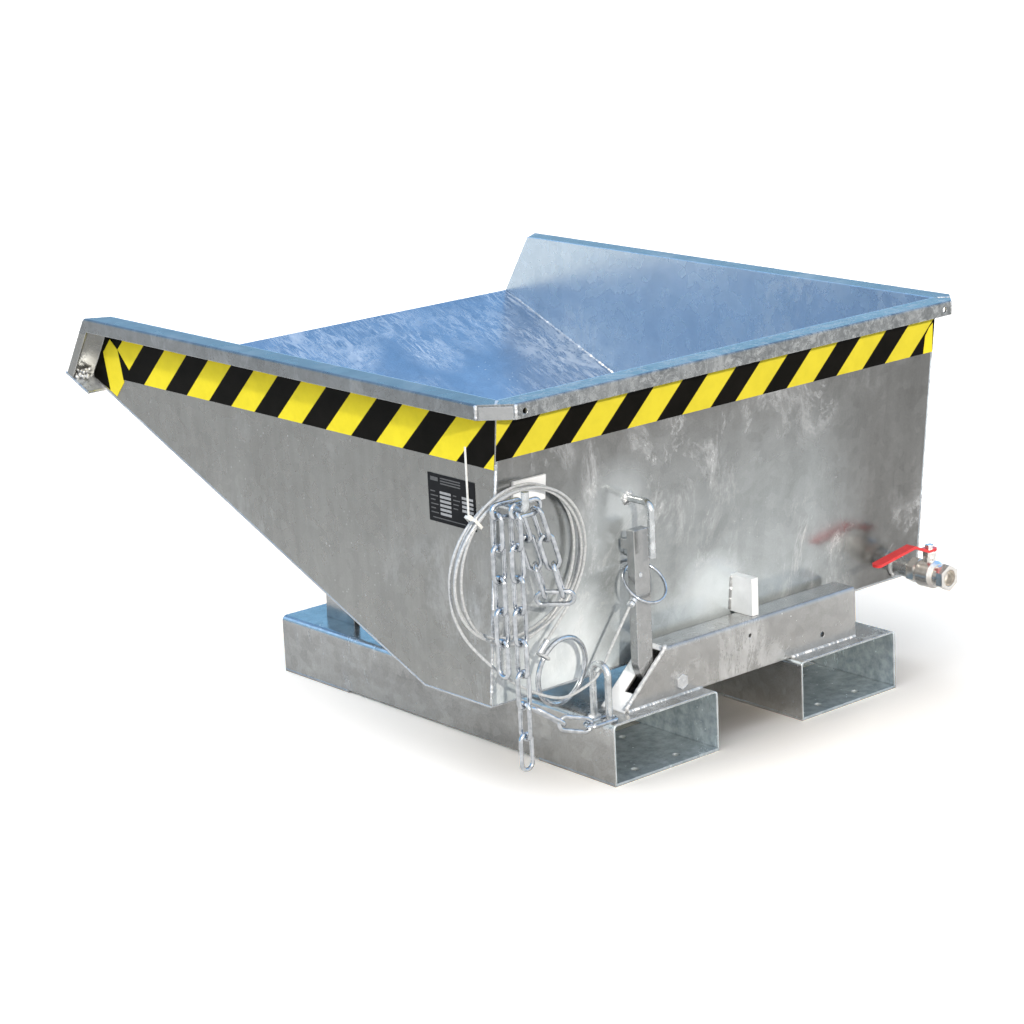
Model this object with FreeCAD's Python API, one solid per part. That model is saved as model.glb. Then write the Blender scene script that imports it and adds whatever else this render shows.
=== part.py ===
# Tipping skip on a fork-lift base, galvanised folded sheet, in millimetres.
# +Z is up, +Y points to the pouring lip, the origin is under the middle of the skip on the ground.
import math
import os

import FreeCAD
import Part
from FreeCAD import Vector

# Skip
sheet = 3.0
skip_half_width = 407.0
rim_height = 538.0
rim_overhang = 32.0
rim_fascia = 20.0
rim_chamfer = 36.0
rim_bend_radius = sheet
rear_top_y = -450.0
rear_lean = 42.0
bottom_height = 126.0
bottom_length = 136.0
floor_rise = 0.41
lip_y = 492.7
lip_fold = 25.0
mouth_top_y = 431.0
mouth_flare = 20.0
mouth_strip = 15.0
floor_tab_length = 62.0
vent_radius = 4.0
vent_inset = 14.0

# Fork-lift base
pocket_width = 190.0
pocket_pitch = 350.0
pocket_top = 86.0
pocket_rear_y = -489.0
pocket_length = 729.0
pocket_wall = 3.0
pocket_bend_radius = 8.0
strap_thickness = 4.0
strap_length = 154.0
bolt_spacing_x = 75.0
bolt_spacing_y = 105.0
bolt_hole_radius = 5.5

# Cross channel
channel_wall = 4.0
channel_rear_y = -465.0
channel_depth = 45.0
channel_height = 72.0
channel_half_length = 215.0
channel_cut = 79.0
channel_foot_reach = 229.0
channel_bend_radius = 6.0
slot_start = 30.0
slot_end = 100.0
drain_hole_radius = 4.0
drain_hole_places = ((7.0, 0.70, 0.75), (148.0, 0.25, 1.0))

# Tipping hinge
pivot_y = 153.0
pivot_lift = 124.0
axle_radius = 12.5
lug_outer_x = 227.0
lug_thickness = 10.0
lug_foot = 67.0
lug_head_radius = 25.0
ear_thickness = 10.0
ear_head_radius = 24.0
ear_root = 96.0
bush_wall = 3.0
bush_flange = 2.0
washer_thickness = 2.5
washer_radius = 21.0
split_pin_radius = 2.5
split_pin_length = 40.0
axle_overhang = 14.0

# Lock lever and its catch
lever_width = 26.0
lever_thickness = 14.0
lever_top = 326.0
lever_x = -181.5
lever_pivot_x = -128.0
lever_pivot_height = 106.0
lever_corner_height = 130.0
lever_eye_radius = 16.0
lever_bend_radius = 26.0
lever_gap = 2.0
lever_bolt_radius = 6.0
bolt_head_across = 19.0
bolt_head_height = 7.5
nut_height = 10.0
spacer_wall = 4.0
catch_pin_x = -176.0
catch_pin_height = 290.0
catch_pin_radius = 7.0
catch_gap = 4.0
tooth_width = 11.0
tooth_height = 13.0
tooth_depth = 12.0
tooth_gap = 2.0
keeper_x = -179.0
keeper_height = 364.0
keeper_drop = 74.0
keeper_standoff = 44.0
keeper_radius = 5.0
keeper_bend = 12.0
rest_lug_x = 21.0
rest_lug_thickness = 12.0
rest_lug_height = 53.0
rest_lug_inset = 9.0

# Release ring on the lever
release_ring_radius = 31.5
release_wire_radius = 2.0
release_ring_x = -172.0
release_ring_y = -452.0
release_ring_height = 250.0
release_ring_tilt = 45.0
ring_pin_radius = 3.0
ring_pin_x = -185.0
ring_pin_reach = 15.0

# Cable guide loop on the left pocket
loop_rod_radius = 4.75
loop_x = -262.0
loop_rear_y = -473.0
loop_span = 30.0
loop_height = 80.0

# Hanger hook and chain
hook_x = -407.0
hook_rod_radius = 5.0
hook_reach = 59.0
hook_bend = 7.0
hook_tip = 24.0
wall_plate_width = 54.0
wall_plate_height = 33.0
wall_plate_thickness = 4.0
wall_plate_offset = 54.0
wall_plate_gap = 20.0
link_wire_radius = 3.0
link_pitch = 42.0
link_inner_width = 12.0
link_slack = 0.5
chain_x = -398.5
chain_standoff = 48.5
chain_row_step = -16.0
chain_row_shift = -17.0
hang_offset = 16.5
hang_drop = 2.0
loose_lean = 18.0
left_strand_links = 5
long_strand_links = 4
free_end_links = 4
loose_strand_links = 3

# Pull cable
cable_radius = 2.0
coil_x = -377.0
coil_half_width = 103.0
coil_half_height = 104.0
coil_spread = 8.0
coil_sag = 3.0
coil_fan = 7.0
coil_start_angle = 200.0
coil_turn = 1315.0
coil_step = 45.0
coil_layer = 4.6
coil_inner_standoff = 5.2
coil_clearance = 0.7
pull_ring_radius = 45.0
pull_ring_wire = 3.5
pull_ring_x = -308.0
pull_ring_height = 161.0
pull_ring_standoff = 24.0
pull_ring_turn = 6.0
ferrule_radius = 4.5
ferrule_length = 20.0
eye_radius = 8.0
tie_angle = 133.0
tie_band = 1.3
tie_width = 4.0
tie_tail = 92.0
tie_slack = 1.2
clamp_size = 11.0

# Drain valve
valve_x = 360.0
valve_height = 147.0
nipple_radius = 13.45
nipple_bore = 10.5
nipple_length = 42.0
hex_across = 33.0
inlet_length = 14.0
barrel_length = 34.0
barrel_radius = 20.0
outlet_length = 21.0
outlet_bore = 12.1
outlet_thread_length = 16.0
ball_radius = 13.5
ball_bore = 9.5
seat_length = 1.0
cavity_clearance = 0.6
stem_radius = 4.5
gland_across = 17.0
gland_height = 7.0
boss_radius = 9.0
boss_height = 6.5
handle_length = 114.0
handle_width = 17.0
handle_thickness = 4.0
handle_kick = 12.0
handle_nut_across = 11.0
handle_nut_height = 5.0

# Tape and name plate
tape_height = 80.0
rear_tape_height = 68.0
tape_thickness = 0.4
tape_drop = 8.0
plate_width = 94.0
plate_height = 64.0
plate_thickness = 0.8
plate_rear_y = -398.0
plate_gap = 23.0

# Clearances
running = 0.05
seat_gap = 0.3
hole_gap = 0.1


def box(x0, x1, y0, y1, z0, z1):
    low = Vector(min(x0, x1), min(y0, y1), min(z0, z1))
    return Part.makeBox(abs(x1 - x0), abs(y1 - y0), abs(z1 - z0), low)


def prism(points, push):
    wire = Part.makePolygon(points + [points[0]])
    return Part.Face(wire).extrude(push)


def prism_x(points, x0, x1):
    return prism([Vector(x0, y, z) for y, z in points], Vector(x1 - x0, 0, 0))


def prism_y(points, y0, y1):
    return prism([Vector(x, y0, z) for x, z in points], Vector(0, y1 - y0, 0))


def prism_z(points, z0, z1):
    return prism([Vector(x, y, z0) for x, y in points], Vector(0, 0, z1 - z0))


def rod(start, end, radius):
    along = end - start
    return Part.makeCylinder(radius, along.Length, start, along)


def hexagon(start, end, across):
    along = end - start
    turn = FreeCAD.Rotation(Vector(0, 0, 1), along)
    reach = across / math.sqrt(3)
    corners = []
    for k in range(6):
        angle = math.radians(60 * k + 30)
        corners.append(start + turn.multVec(Vector(reach * math.cos(angle), reach * math.sin(angle), 0)))
    return prism(corners, along)


def ring_solid(centre, normal, radius, wire):
    return Part.makeTorus(radius, wire, centre, normal)


def edges_where(shape, test):
    return [edge for edge in shape.Edges if test(edge)]


def lies_along(edge, axis, places):
    # True for a straight edge along axis whose middle has the given coordinates.
    ends = [vertex.Point for vertex in edge.Vertexes]
    if len(ends) != 2:
        return False
    way = ends[1] - ends[0]
    if way.Length < 1e-6 or abs(abs(way.normalize().dot(axis)) - 1) > 1e-6:
        return False
    middle = (ends[0] + ends[1]) * 0.5
    return all(abs(getattr(middle, name) - value) < 1e-3 for name, value in places.items())


def mirrored(shape):
    return shape.mirror(Vector(0, 0, 0), Vector(1, 0, 0))


def rounded_path(points):
    # Straight runs joined by arcs as large as the two runs allow.
    edges = []
    radii = []
    last = points[0]
    for k in range(1, len(points) - 1):
        before = points[k] - points[k - 1]
        after = points[k + 1] - points[k]
        reach = 0.45 * min(before.Length, after.Length)
        into = Vector(before).normalize()
        out = Vector(after).normalize()
        turn = math.acos(max(-1.0, min(1.0, into.dot(out))))
        radius = reach / math.tan(turn / 2)
        radii.append(radius)
        begin = points[k] - into * reach
        finish = points[k] + out * reach
        inward = (out - into).normalize()
        middle = points[k] + inward * (radius / math.cos(turn / 2) - radius)
        edges.append(Part.makeLine(last, begin))
        edges.append(Part.Arc(begin, middle, finish).toShape())
        last = finish
    edges.append(Part.makeLine(last, points[-1]))
    return Part.Wire(edges), radii


def tube(points, radius, label):
    path, radii = rounded_path(points)
    profile = Part.Wire(Part.makeCircle(radius, points[0], points[1] - points[0]))
    solid = path.makePipeShell([profile], True, False)
    if radii:
        print(label, "radii", [round(value, 1) for value in radii])
    print(label, "length", round(path.Length, 1), "volume share",
          round(solid.Volume / (math.pi * radius ** 2 * path.Length), 4))
    return solid


def bent_rod(points, radius, bend):
    # A rod bent cold: straight legs joined by arcs of one bend radius.
    edges = []
    last = points[0]
    for k in range(1, len(points) - 1):
        into = (points[k] - points[k - 1]).normalize()
        out = (points[k + 1] - points[k]).normalize()
        half = math.acos(into.dot(out)) / 2
        reach = bend * math.tan(half)
        inward = (out - into).normalize()
        middle = points[k] + inward * (bend / math.cos(half) - bend)
        edges.append(Part.makeLine(last, points[k] - into * reach))
        edges.append(Part.Arc(points[k] - into * reach, middle, points[k] + out * reach).toShape())
        last = points[k] + out * reach
    edges.append(Part.makeLine(last, points[-1]))
    path = Part.Wire(edges)
    profile = Part.Wire(Part.makeCircle(radius, points[0], points[1] - points[0]))
    return path.makePipeShell([profile], True, False)


# Places that several pieces share
bottom_y = rear_top_y + rear_lean
kink_y = bottom_y + bottom_length
floor_angle = math.atan(floor_rise)
floor_rise_of_sheet = sheet / math.cos(floor_angle)
wall_height = rim_height - bottom_height
wall_slope = rear_lean / wall_height
rim_outer_x = skip_half_width + rim_overhang
rim_rear_y = rear_top_y - rim_overhang
rim_under = rim_height - sheet
tape_low = rim_under - tape_drop - tape_height
hook_height = tape_low - wall_plate_gap - wall_plate_height * 2 / 3
plate_bottom = tape_low - plate_gap - plate_height
pivot_height = bottom_height + pivot_lift
channel_top = pocket_top + channel_height
channel_front_y = channel_rear_y + channel_depth
lever_rear_y = channel_rear_y + channel_wall + lever_gap
lever_front_y = lever_rear_y + lever_thickness
loop_front_y = loop_rear_y + loop_span


def wall_y(height):
    # Outer face of the leaning rear wall at a height.
    return rear_top_y + (rim_height - height) * wall_slope


def floor_under(y):
    return bottom_height + max(0.0, y - kink_y) * floor_rise


def floor_top(y):
    if y <= kink_y:
        return bottom_height + sheet
    return floor_under(y) + floor_rise_of_sheet


wall_normal = Vector(0, -1, -wall_slope).normalize()
mouth_bottom_z = floor_top(lip_y)


def wall_block(x0, x1, inner, outer, low, high):
    # A slab that follows the rear wall, from one offset off its outer face to another.
    lift = math.sqrt(1 + wall_slope ** 2)
    return prism_x([(wall_y(low) - inner * lift, low), (wall_y(low) - outer * lift, low),
                    (wall_y(high) - outer * lift, high), (wall_y(high) - inner * lift, high)], x0, x1)


def rim_profile(near, far, place):
    # Section of the folded rim: a flat strip, a bend and the fascia below it.
    away = 1 if far > near else -1
    bend = rim_bend_radius
    low = rim_height - rim_fascia
    corner = far - away * bend
    middle = place(corner + away * bend * math.sqrt(0.5), rim_height - bend + bend * math.sqrt(0.5))
    inside = far - away * sheet
    edges = [Part.makeLine(place(near, rim_height), place(corner, rim_height)),
             Part.Arc(place(corner, rim_height), middle, place(far, rim_height - bend)).toShape(),
             Part.makeLine(place(far, rim_height - bend), place(far, low)),
             Part.makeLine(place(far, low), place(inside, low)),
             Part.makeLine(place(inside, low), place(inside, rim_under)),
             Part.makeLine(place(inside, rim_under), place(near, rim_under)),
             Part.makeLine(place(near, rim_under), place(near, rim_height))]
    return Part.Face(Part.Wire(edges))


def side_sheet():
    # Right-hand side wall with its rim, fascia, flared mouth flange and return strip.
    inner = skip_half_width - sheet
    floor_joint_y = kink_y - sheet * math.tan(floor_angle / 2)
    wall = prism_x([(rear_top_y, rim_height), (mouth_top_y, rim_height), (lip_y, mouth_bottom_z),
                    (floor_joint_y, bottom_height + sheet), (wall_y(bottom_height + sheet), bottom_height + sheet)],
                   inner, skip_half_width)
    flared_y = mouth_top_y + mouth_flare
    mitre = rim_chamfer / 2
    rim = rim_profile(skip_half_width, rim_outer_x, lambda a, z: Vector(a, rim_rear_y, z))
    rim = rim.extrude(Vector(0, flared_y - rim_rear_y, 0))
    plan = prism_z([(skip_half_width, rear_top_y), (skip_half_width, mouth_top_y), (rim_outer_x, flared_y),
                    (rim_outer_x, rim_rear_y + rim_chamfer),
                    (rim_outer_x - mitre, rim_rear_y + mitre)], bottom_height, 2 * rim_height)
    rim = rim.common(plan)
    top_in = Vector(skip_half_width, mouth_top_y, rim_height)
    low_in = Vector(skip_half_width, lip_y, mouth_bottom_z)
    step = Vector(rim_overhang, mouth_flare, 0)
    edge = low_in - top_in
    back = edge.cross(step).normalize()
    if back.y > 0:
        back = back * -1
    root = step * (sheet / rim_overhang)
    mouth = prism([top_in - root, low_in - root, low_in + step, top_in + step], back * sheet)
    across = Vector(0, edge.z, -edge.y).normalize()
    strip = prism([top_in + step, low_in + step, low_in + step + across * mouth_strip,
                   top_in + step + across * mouth_strip], Vector(-sheet, 0, 0))
    above = box(0, 2 * rim_outer_x, rim_rear_y, lip_y + rim_overhang, rim_under, 2 * rim_height)
    beyond = box(rim_outer_x, 2 * rim_outer_x, rim_rear_y, lip_y + rim_overhang, 0, 2 * rim_height)
    near_y = lip_y - 3 * rim_overhang
    far_y = lip_y + 3 * rim_overhang
    under = prism_x([(near_y, floor_top(near_y)), (far_y, floor_top(far_y)), (far_y, 0), (near_y, 0)],
                    0, 2 * rim_outer_x)
    folds = mouth.fuse(strip).cut(above).cut(beyond).cut(under)
    return wall.fuse([rim, folds]).removeSplitter()


def rear_sheet():
    inner = skip_half_width - sheet
    low = bottom_height + sheet
    lift = sheet * math.sqrt(1 + wall_slope ** 2)
    wall = prism_x([(wall_y(low), low), (wall_y(low) + lift, low),
                    (rear_top_y + lift, rim_height), (rear_top_y, rim_height)], -inner, inner)
    mitre = rim_chamfer / 2
    half = rim_outer_x - rim_chamfer
    rim = rim_profile(rear_top_y + sheet / 2, rim_rear_y, lambda a, z: Vector(-rim_outer_x, a, z))
    rim = rim.extrude(Vector(2 * rim_outer_x, 0, 0))
    plan = prism_z([(-inner, rear_top_y + sheet), (-inner, rear_top_y), (-skip_half_width, rear_top_y),
                    (-rim_outer_x + mitre, rim_rear_y + mitre), (-half, rim_rear_y), (half, rim_rear_y),
                    (rim_outer_x - mitre, rim_rear_y + mitre), (skip_half_width, rear_top_y), (inner, rear_top_y),
                    (inner, rear_top_y + sheet)], bottom_height, 2 * rim_height)
    body = wall.fuse(rim.common(plan)).removeSplitter()
    vent_x = half - vent_inset
    vent_height = rim_height - rim_fascia * 0.56
    for x in (-vent_x, vent_x):
        body = body.cut(rod(Vector(x, rim_rear_y - sheet, vent_height), Vector(x, rim_rear_y + 2 * sheet, vent_height),
                            vent_radius))
    return body.cut(rod(Vector(valve_x, rear_top_y, valve_height), Vector(valve_x, bottom_y + rim_overhang, valve_height),
                        nipple_radius + hole_gap))


def rim_corner():
    # Plate that closes the cut-off rim corner, from the side fascia to the rear fascia.
    return prism_z([(rim_outer_x, rim_rear_y + rim_chamfer), (rim_outer_x - rim_chamfer, rim_rear_y),
                    (rim_outer_x - rim_chamfer, rim_rear_y + sheet * math.sqrt(2)),
                    (rim_outer_x - sheet * math.sqrt(2), rim_rear_y + rim_chamfer)],
                   rim_height - rim_fascia, rim_under).cut(right_side).cut(rear)


def floor_sheet():
    fold = Vector(0, math.sin(floor_angle), -math.cos(floor_angle)) * lip_fold
    ahead = Vector(0, math.cos(floor_angle), math.sin(floor_angle)) * sheet
    lip_high = Vector(0, lip_y, floor_top(lip_y))
    lip_low = lip_high + Vector(fold).normalize() * sheet
    corner = lip_low - ahead
    joint_y = kink_y - sheet * math.tan(floor_angle / 2)
    outline = [(bottom_y, bottom_height), (kink_y, bottom_height), (corner.y, corner.z),
               ((corner + fold).y, (corner + fold).z), ((lip_low + fold).y, (lip_low + fold).z),
               (lip_high.y, lip_high.z), (joint_y, bottom_height + sheet), (bottom_y, bottom_height + sheet)]
    body = prism_x(outline, -skip_half_width, skip_half_width)
    tab_front = lip_y + mouth_flare
    tab_rear = tab_front - floor_tab_length * math.cos(floor_angle)
    for side in (-1, 1):
        tab = prism([Vector(side * skip_half_width, tab_rear, floor_under(tab_rear)),
                     Vector(side * skip_half_width, lip_y, floor_under(lip_y)),
                     Vector(side * rim_outer_x, tab_front, floor_under(tab_front)),
                     Vector(side * rim_outer_x, tab_rear, floor_under(tab_rear))],
                    Vector(0, 0, floor_rise_of_sheet))
        body = body.fuse(tab.cut(right_side).cut(left_side))
    return body.removeSplitter()


def hinge_ear():
    # Ear under the sloping floor, on the inner side of the right-hand lug.
    outer = lug_outer_x - lug_thickness - washer_thickness - 2 * seat_gap
    inner = outer - ear_thickness
    half = ear_root / 2
    spread = ear_head_radius * 0.94
    plate = prism_x([(pivot_y - half, floor_under(pivot_y - half)), (pivot_y + half, floor_under(pivot_y + half)),
                     (pivot_y + spread, pivot_height), (pivot_y - spread, pivot_height)], inner, outer)
    head = rod(Vector(inner, pivot_y, pivot_height), Vector(outer, pivot_y, pivot_height), ear_head_radius)
    bore = rod(Vector(inner - 1, pivot_y, pivot_height), Vector(outer + 1, pivot_y, pivot_height),
               axle_radius + bush_wall + running)
    return plate.fuse(head).removeSplitter().cut(bore)


def hinge_bush():
    outer = lug_outer_x - lug_thickness - washer_thickness - 2 * seat_gap
    inner = outer - ear_thickness
    body = rod(Vector(inner, pivot_y, pivot_height), Vector(outer, pivot_y, pivot_height), axle_radius + bush_wall)
    collar = rod(Vector(inner - bush_flange, pivot_y, pivot_height), Vector(inner, pivot_y, pivot_height),
                 ear_head_radius - 1)
    bore = rod(Vector(inner - bush_flange - 1, pivot_y, pivot_height), Vector(outer + 1, pivot_y, pivot_height),
               axle_radius + running)
    return body.fuse(collar).removeSplitter().cut(bore)


def hinge_lug():
    inner = lug_outer_x - lug_thickness
    half = lug_foot / 2
    spread = lug_head_radius * 0.97
    plate = prism_x([(pivot_y - half, pocket_top), (pivot_y + half, pocket_top),
                     (pivot_y + spread, pivot_height), (pivot_y - spread, pivot_height)], inner, lug_outer_x)
    head = rod(Vector(inner, pivot_y, pivot_height), Vector(lug_outer_x, pivot_y, pivot_height), lug_head_radius)
    bore = rod(Vector(inner - 1, pivot_y, pivot_height), Vector(lug_outer_x + 1, pivot_y, pivot_height),
               axle_radius + running)
    return plate.fuse(head).removeSplitter().cut(bore)


axle_half = lug_outer_x + washer_thickness + axle_overhang
pin_x = lug_outer_x + washer_thickness + seat_gap + split_pin_radius + seat_gap


def tipping_axle():
    axle = rod(Vector(-axle_half, pivot_y, pivot_height), Vector(axle_half, pivot_y, pivot_height), axle_radius)
    ends = edges_where(axle, lambda e: e.Closed and abs(abs(e.CenterOfMass.x) - axle_half) < 1e-3)
    axle = axle.makeChamfer(axle_radius / 8, ends)
    for side in (-1, 1):
        axle = axle.cut(rod(Vector(side * pin_x, pivot_y, pivot_height - 2 * axle_radius),
                            Vector(side * pin_x, pivot_y, pivot_height + 2 * axle_radius),
                            split_pin_radius + running))
    return axle


def axle_washers():
    washers = []
    for start in (lug_outer_x + seat_gap / 2, lug_outer_x - lug_thickness - seat_gap - washer_thickness):
        for side in (-1, 1):
            near = Vector(side * start, pivot_y, pivot_height)
            far = Vector(side * (start + washer_thickness), pivot_y, pivot_height)
            washers.append(rod(near, far, washer_radius).cut(rod(near, far, axle_radius + running)))
    return Part.makeCompound(washers)


def axle_split_pins():
    pins = []
    for side in (-1, 1):
        low = Vector(side * pin_x, pivot_y, pivot_height - split_pin_length / 2)
        high = Vector(side * pin_x, pivot_y, pivot_height + split_pin_length / 2)
        pin = rod(low, high, split_pin_radius)
        eye = ring_solid(high + Vector(0, 0, 2 * split_pin_radius), Vector(1, 0, 0), 2 * split_pin_radius,
                         split_pin_radius * 0.8)
        pins.append(pin.fuse(eye).removeSplitter())
    return Part.makeCompound(pins)


def fork_pocket():
    # Right-hand pocket: a sheet folded to an inverted U, open at both ends.
    inner_x = pocket_pitch / 2 - pocket_width / 2
    outer_x = inner_x + pocket_width
    far_y = pocket_rear_y + pocket_length
    body = box(inner_x, outer_x, pocket_rear_y, far_y, strap_thickness, pocket_top)
    bends = []
    for x in (inner_x, outer_x):
        bends += edges_where(body, lambda e, x=x: lies_along(e, Vector(0, 1, 0), {"x": x, "z": pocket_top}))
    body = body.makeFillet(pocket_bend_radius, bends)
    space = box(inner_x + pocket_wall, outer_x - pocket_wall, pocket_rear_y - 1, far_y + 1,
                strap_thickness - 1, pocket_top - pocket_wall)
    bends = []
    for x in (inner_x + pocket_wall, outer_x - pocket_wall):
        bends += edges_where(space, lambda e, x=x: lies_along(e, Vector(0, 1, 0),
                                                              {"x": x, "z": pocket_top - pocket_wall}))
    space = space.makeFillet(pocket_bend_radius - pocket_wall, bends)
    return body.cut(space)


def strap(rear_y):
    inner_x = pocket_pitch / 2 - pocket_width / 2
    body = box(inner_x, inner_x + pocket_width, rear_y, rear_y + strap_length, 0, strap_thickness)
    for x in (-bolt_spacing_x / 2, bolt_spacing_x / 2):
        for y in (-bolt_spacing_y / 2, bolt_spacing_y / 2):
            foot = Vector(pocket_pitch / 2 + x, rear_y + strap_length / 2 + y, -1)
            body = body.cut(rod(foot, foot + Vector(0, 0, strap_thickness + 2), bolt_hole_radius))
    return body


incline = Vector(channel_cut, 0, channel_height)
incline_way = Vector(incline).normalize()
incline_normal = Vector(-incline_way.z, 0, incline_way.x)
incline_foot = Vector(-channel_foot_reach, 0, pocket_top)


def cross_channel():
    # Folded channel across both pockets, its left end closed by an inclined plate with the lever slot.
    outline = [(-channel_foot_reach, pocket_top), (channel_half_length, pocket_top),
               (channel_half_length, channel_top), (-channel_foot_reach + channel_cut, channel_top)]
    body = prism_y(outline, channel_rear_y, channel_front_y)
    bends = []
    for y in (channel_rear_y, channel_front_y):
        bends += edges_where(body, lambda e, y=y: lies_along(e, Vector(1, 0, 0), {"y": y, "z": channel_top}))
    body = body.makeFillet(channel_bend_radius, bends)
    foot_x = -channel_foot_reach + channel_wall / incline_way.z
    ceiling = channel_top - channel_wall
    top_x = foot_x + (ceiling - pocket_top) * incline_way.x / incline_way.z
    space = prism_y([(foot_x - incline_way.x / incline_way.z, pocket_top - 1), (channel_half_length + 1, pocket_top - 1),
                     (channel_half_length + 1, ceiling), (top_x, ceiling)],
                    channel_rear_y + channel_wall, channel_front_y - channel_wall)
    body = body.cut(space)
    slot_low = incline_foot + incline_way * slot_start
    slot_high = incline_foot + incline_way * slot_end
    slot = prism([Vector(p.x, lever_rear_y - lever_gap, p.z) for p in
                  (slot_low + incline_normal * channel_wall, slot_high + incline_normal * channel_wall,
                   slot_high - incline_normal * 3 * channel_wall, slot_low - incline_normal * 3 * channel_wall)],
                 Vector(0, lever_thickness + 2 * lever_gap, 0))
    slot = slot.common(box(-channel_foot_reach, channel_half_length, channel_rear_y, channel_front_y,
                           pocket_top, ceiling))
    body = body.cut(slot)
    pivot = Vector(lever_pivot_x, channel_rear_y - 1, lever_pivot_height)
    body = body.cut(rod(pivot, pivot + Vector(0, channel_depth + 2, 0), lever_bolt_radius + hole_gap))
    for x, share, size in drain_hole_places:
        start = Vector(x, channel_rear_y - 1, pocket_top + share * channel_height)
        body = body.cut(rod(start, start + Vector(0, channel_wall + 2, 0), drain_hole_radius * size))
    return body


def lever_pivot_bolt():
    start = Vector(lever_pivot_x, channel_rear_y, lever_pivot_height)
    end = Vector(lever_pivot_x, channel_front_y + nut_height + lever_bolt_radius / 2, lever_pivot_height)
    head = hexagon(start - Vector(0, bolt_head_height, 0), start, bolt_head_across)
    return head.fuse(rod(start, end, lever_bolt_radius)).removeSplitter()


def lever_pivot_nut():
    start = Vector(lever_pivot_x, channel_front_y, lever_pivot_height)
    end = start + Vector(0, nut_height, 0)
    return hexagon(start, end, bolt_head_across).cut(rod(start, end, lever_bolt_radius))


def lever_spacers():
    rings = []
    for y0, y1 in ((channel_rear_y + channel_wall, lever_rear_y - seat_gap),
                   (lever_front_y + seat_gap, channel_front_y - channel_wall)):
        start = Vector(lever_pivot_x, y0, lever_pivot_height)
        end = Vector(lever_pivot_x, y1, lever_pivot_height)
        ring = rod(start, end, lever_bolt_radius + spacer_wall)
        rings.append(ring.cut(rod(start, end, lever_bolt_radius + running)))
    return Part.makeCompound(rings)


def lock_lever():
    # Flat J-shaped lever: an upright, a bend and a slanting arm down to the pivot eye.
    half = lever_width / 2
    bent = 90 - math.degrees(math.atan2(lever_corner_height - lever_pivot_height, lever_pivot_x - lever_x))
    straight_z = lever_corner_height + lever_bend_radius * math.tan(math.radians(bent / 2))
    centre = Vector(lever_x + lever_bend_radius, 0, straight_z)
    inner = lever_bend_radius - half
    outer = lever_bend_radius + half

    def on_bend(radius, angle):
        return centre + Vector(-math.cos(math.radians(angle)), 0, -math.sin(math.radians(angle))) * radius

    pivot = Vector(lever_pivot_x, 0, lever_pivot_height)
    side = Vector(math.cos(math.radians(bent)), 0, math.sin(math.radians(bent))) * half
    top_right = Vector(lever_x + half, 0, lever_top)
    top_left = Vector(lever_x - half, 0, lever_top)
    edges = [Part.makeLine(top_left, top_right), Part.makeLine(top_right, on_bend(inner, 0)),
             Part.Arc(on_bend(inner, 0), on_bend(inner, bent / 2), on_bend(inner, bent)).toShape(),
             Part.makeLine(on_bend(inner, bent), pivot + side), Part.makeLine(pivot + side, pivot - side),
             Part.makeLine(pivot - side, on_bend(outer, bent)),
             Part.Arc(on_bend(outer, bent), on_bend(outer, bent / 2), on_bend(outer, 0)).toShape(),
             Part.makeLine(on_bend(outer, 0), top_left)]
    face = Part.Face(Part.Wire(edges))
    face.translate(Vector(0, lever_rear_y, 0))
    push = Vector(0, lever_thickness, 0)
    eye_start = pivot + Vector(0, lever_rear_y, 0)
    body = face.extrude(push).fuse(rod(eye_start, eye_start + push, lever_eye_radius))
    tooth_low = catch_pin_height + catch_pin_radius + tooth_gap
    body = body.fuse(box(lever_x - half, lever_x - half + tooth_width, lever_front_y, lever_front_y + tooth_depth,
                         tooth_low, tooth_low + tooth_height))
    body = body.removeSplitter()
    body = body.cut(rod(eye_start, eye_start + push, lever_bolt_radius + running))
    pin_start = Vector(ring_pin_x, lever_rear_y, ring_pin_height)
    return body.cut(rod(pin_start, pin_start + push, ring_pin_radius))


tilt = math.radians(release_ring_tilt)
ring_down = Vector(0, -math.cos(tilt), -math.sin(tilt))
ring_centre = Vector(release_ring_x, release_ring_y, release_ring_height)
ring_normal = Vector(1, 0, 0).cross(ring_down)
pin_offset = ring_pin_x - release_ring_x
ring_rest = ring_centre + Vector(pin_offset, 0, 0) - ring_down * math.sqrt(release_ring_radius ** 2 - pin_offset ** 2)
ring_pin_height = ring_rest.z - release_wire_radius - ring_pin_radius - seat_gap


def ring_pin():
    start = Vector(ring_pin_x, lever_rear_y, ring_pin_height)
    return rod(start, start + Vector(0, lever_thickness + ring_pin_reach, 0), ring_pin_radius)


clamp_angle = math.radians(150)
clamp_place = ring_centre + (Vector(1, 0, 0) * math.cos(clamp_angle) + ring_down * math.sin(clamp_angle)) \
    * release_ring_radius


def keeper():
    start = Vector(keeper_x, wall_y(keeper_height), keeper_height)
    bend = start - Vector(0, keeper_standoff, 0)
    body = bent_rod([start + Vector(0, sheet, 0), bend, bend - Vector(0, 0, keeper_drop)], keeper_radius, keeper_bend)
    inside = wall_block(keeper_x - 4 * keeper_radius, keeper_x + 4 * keeper_radius, -10 * sheet, 0,
                        keeper_height - keeper_drop, rim_height)
    return body.cut(inside)


def catch_pin():
    tip = Vector(catch_pin_x, lever_front_y + catch_gap, catch_pin_height)
    body = rod(tip, Vector(catch_pin_x, wall_y(catch_pin_height) + sheet, catch_pin_height), catch_pin_radius)
    return body.cut(wall_block(catch_pin_x - 20, catch_pin_x + 20, -10 * sheet, 0,
                               catch_pin_height - 20, catch_pin_height + 20))


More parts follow.
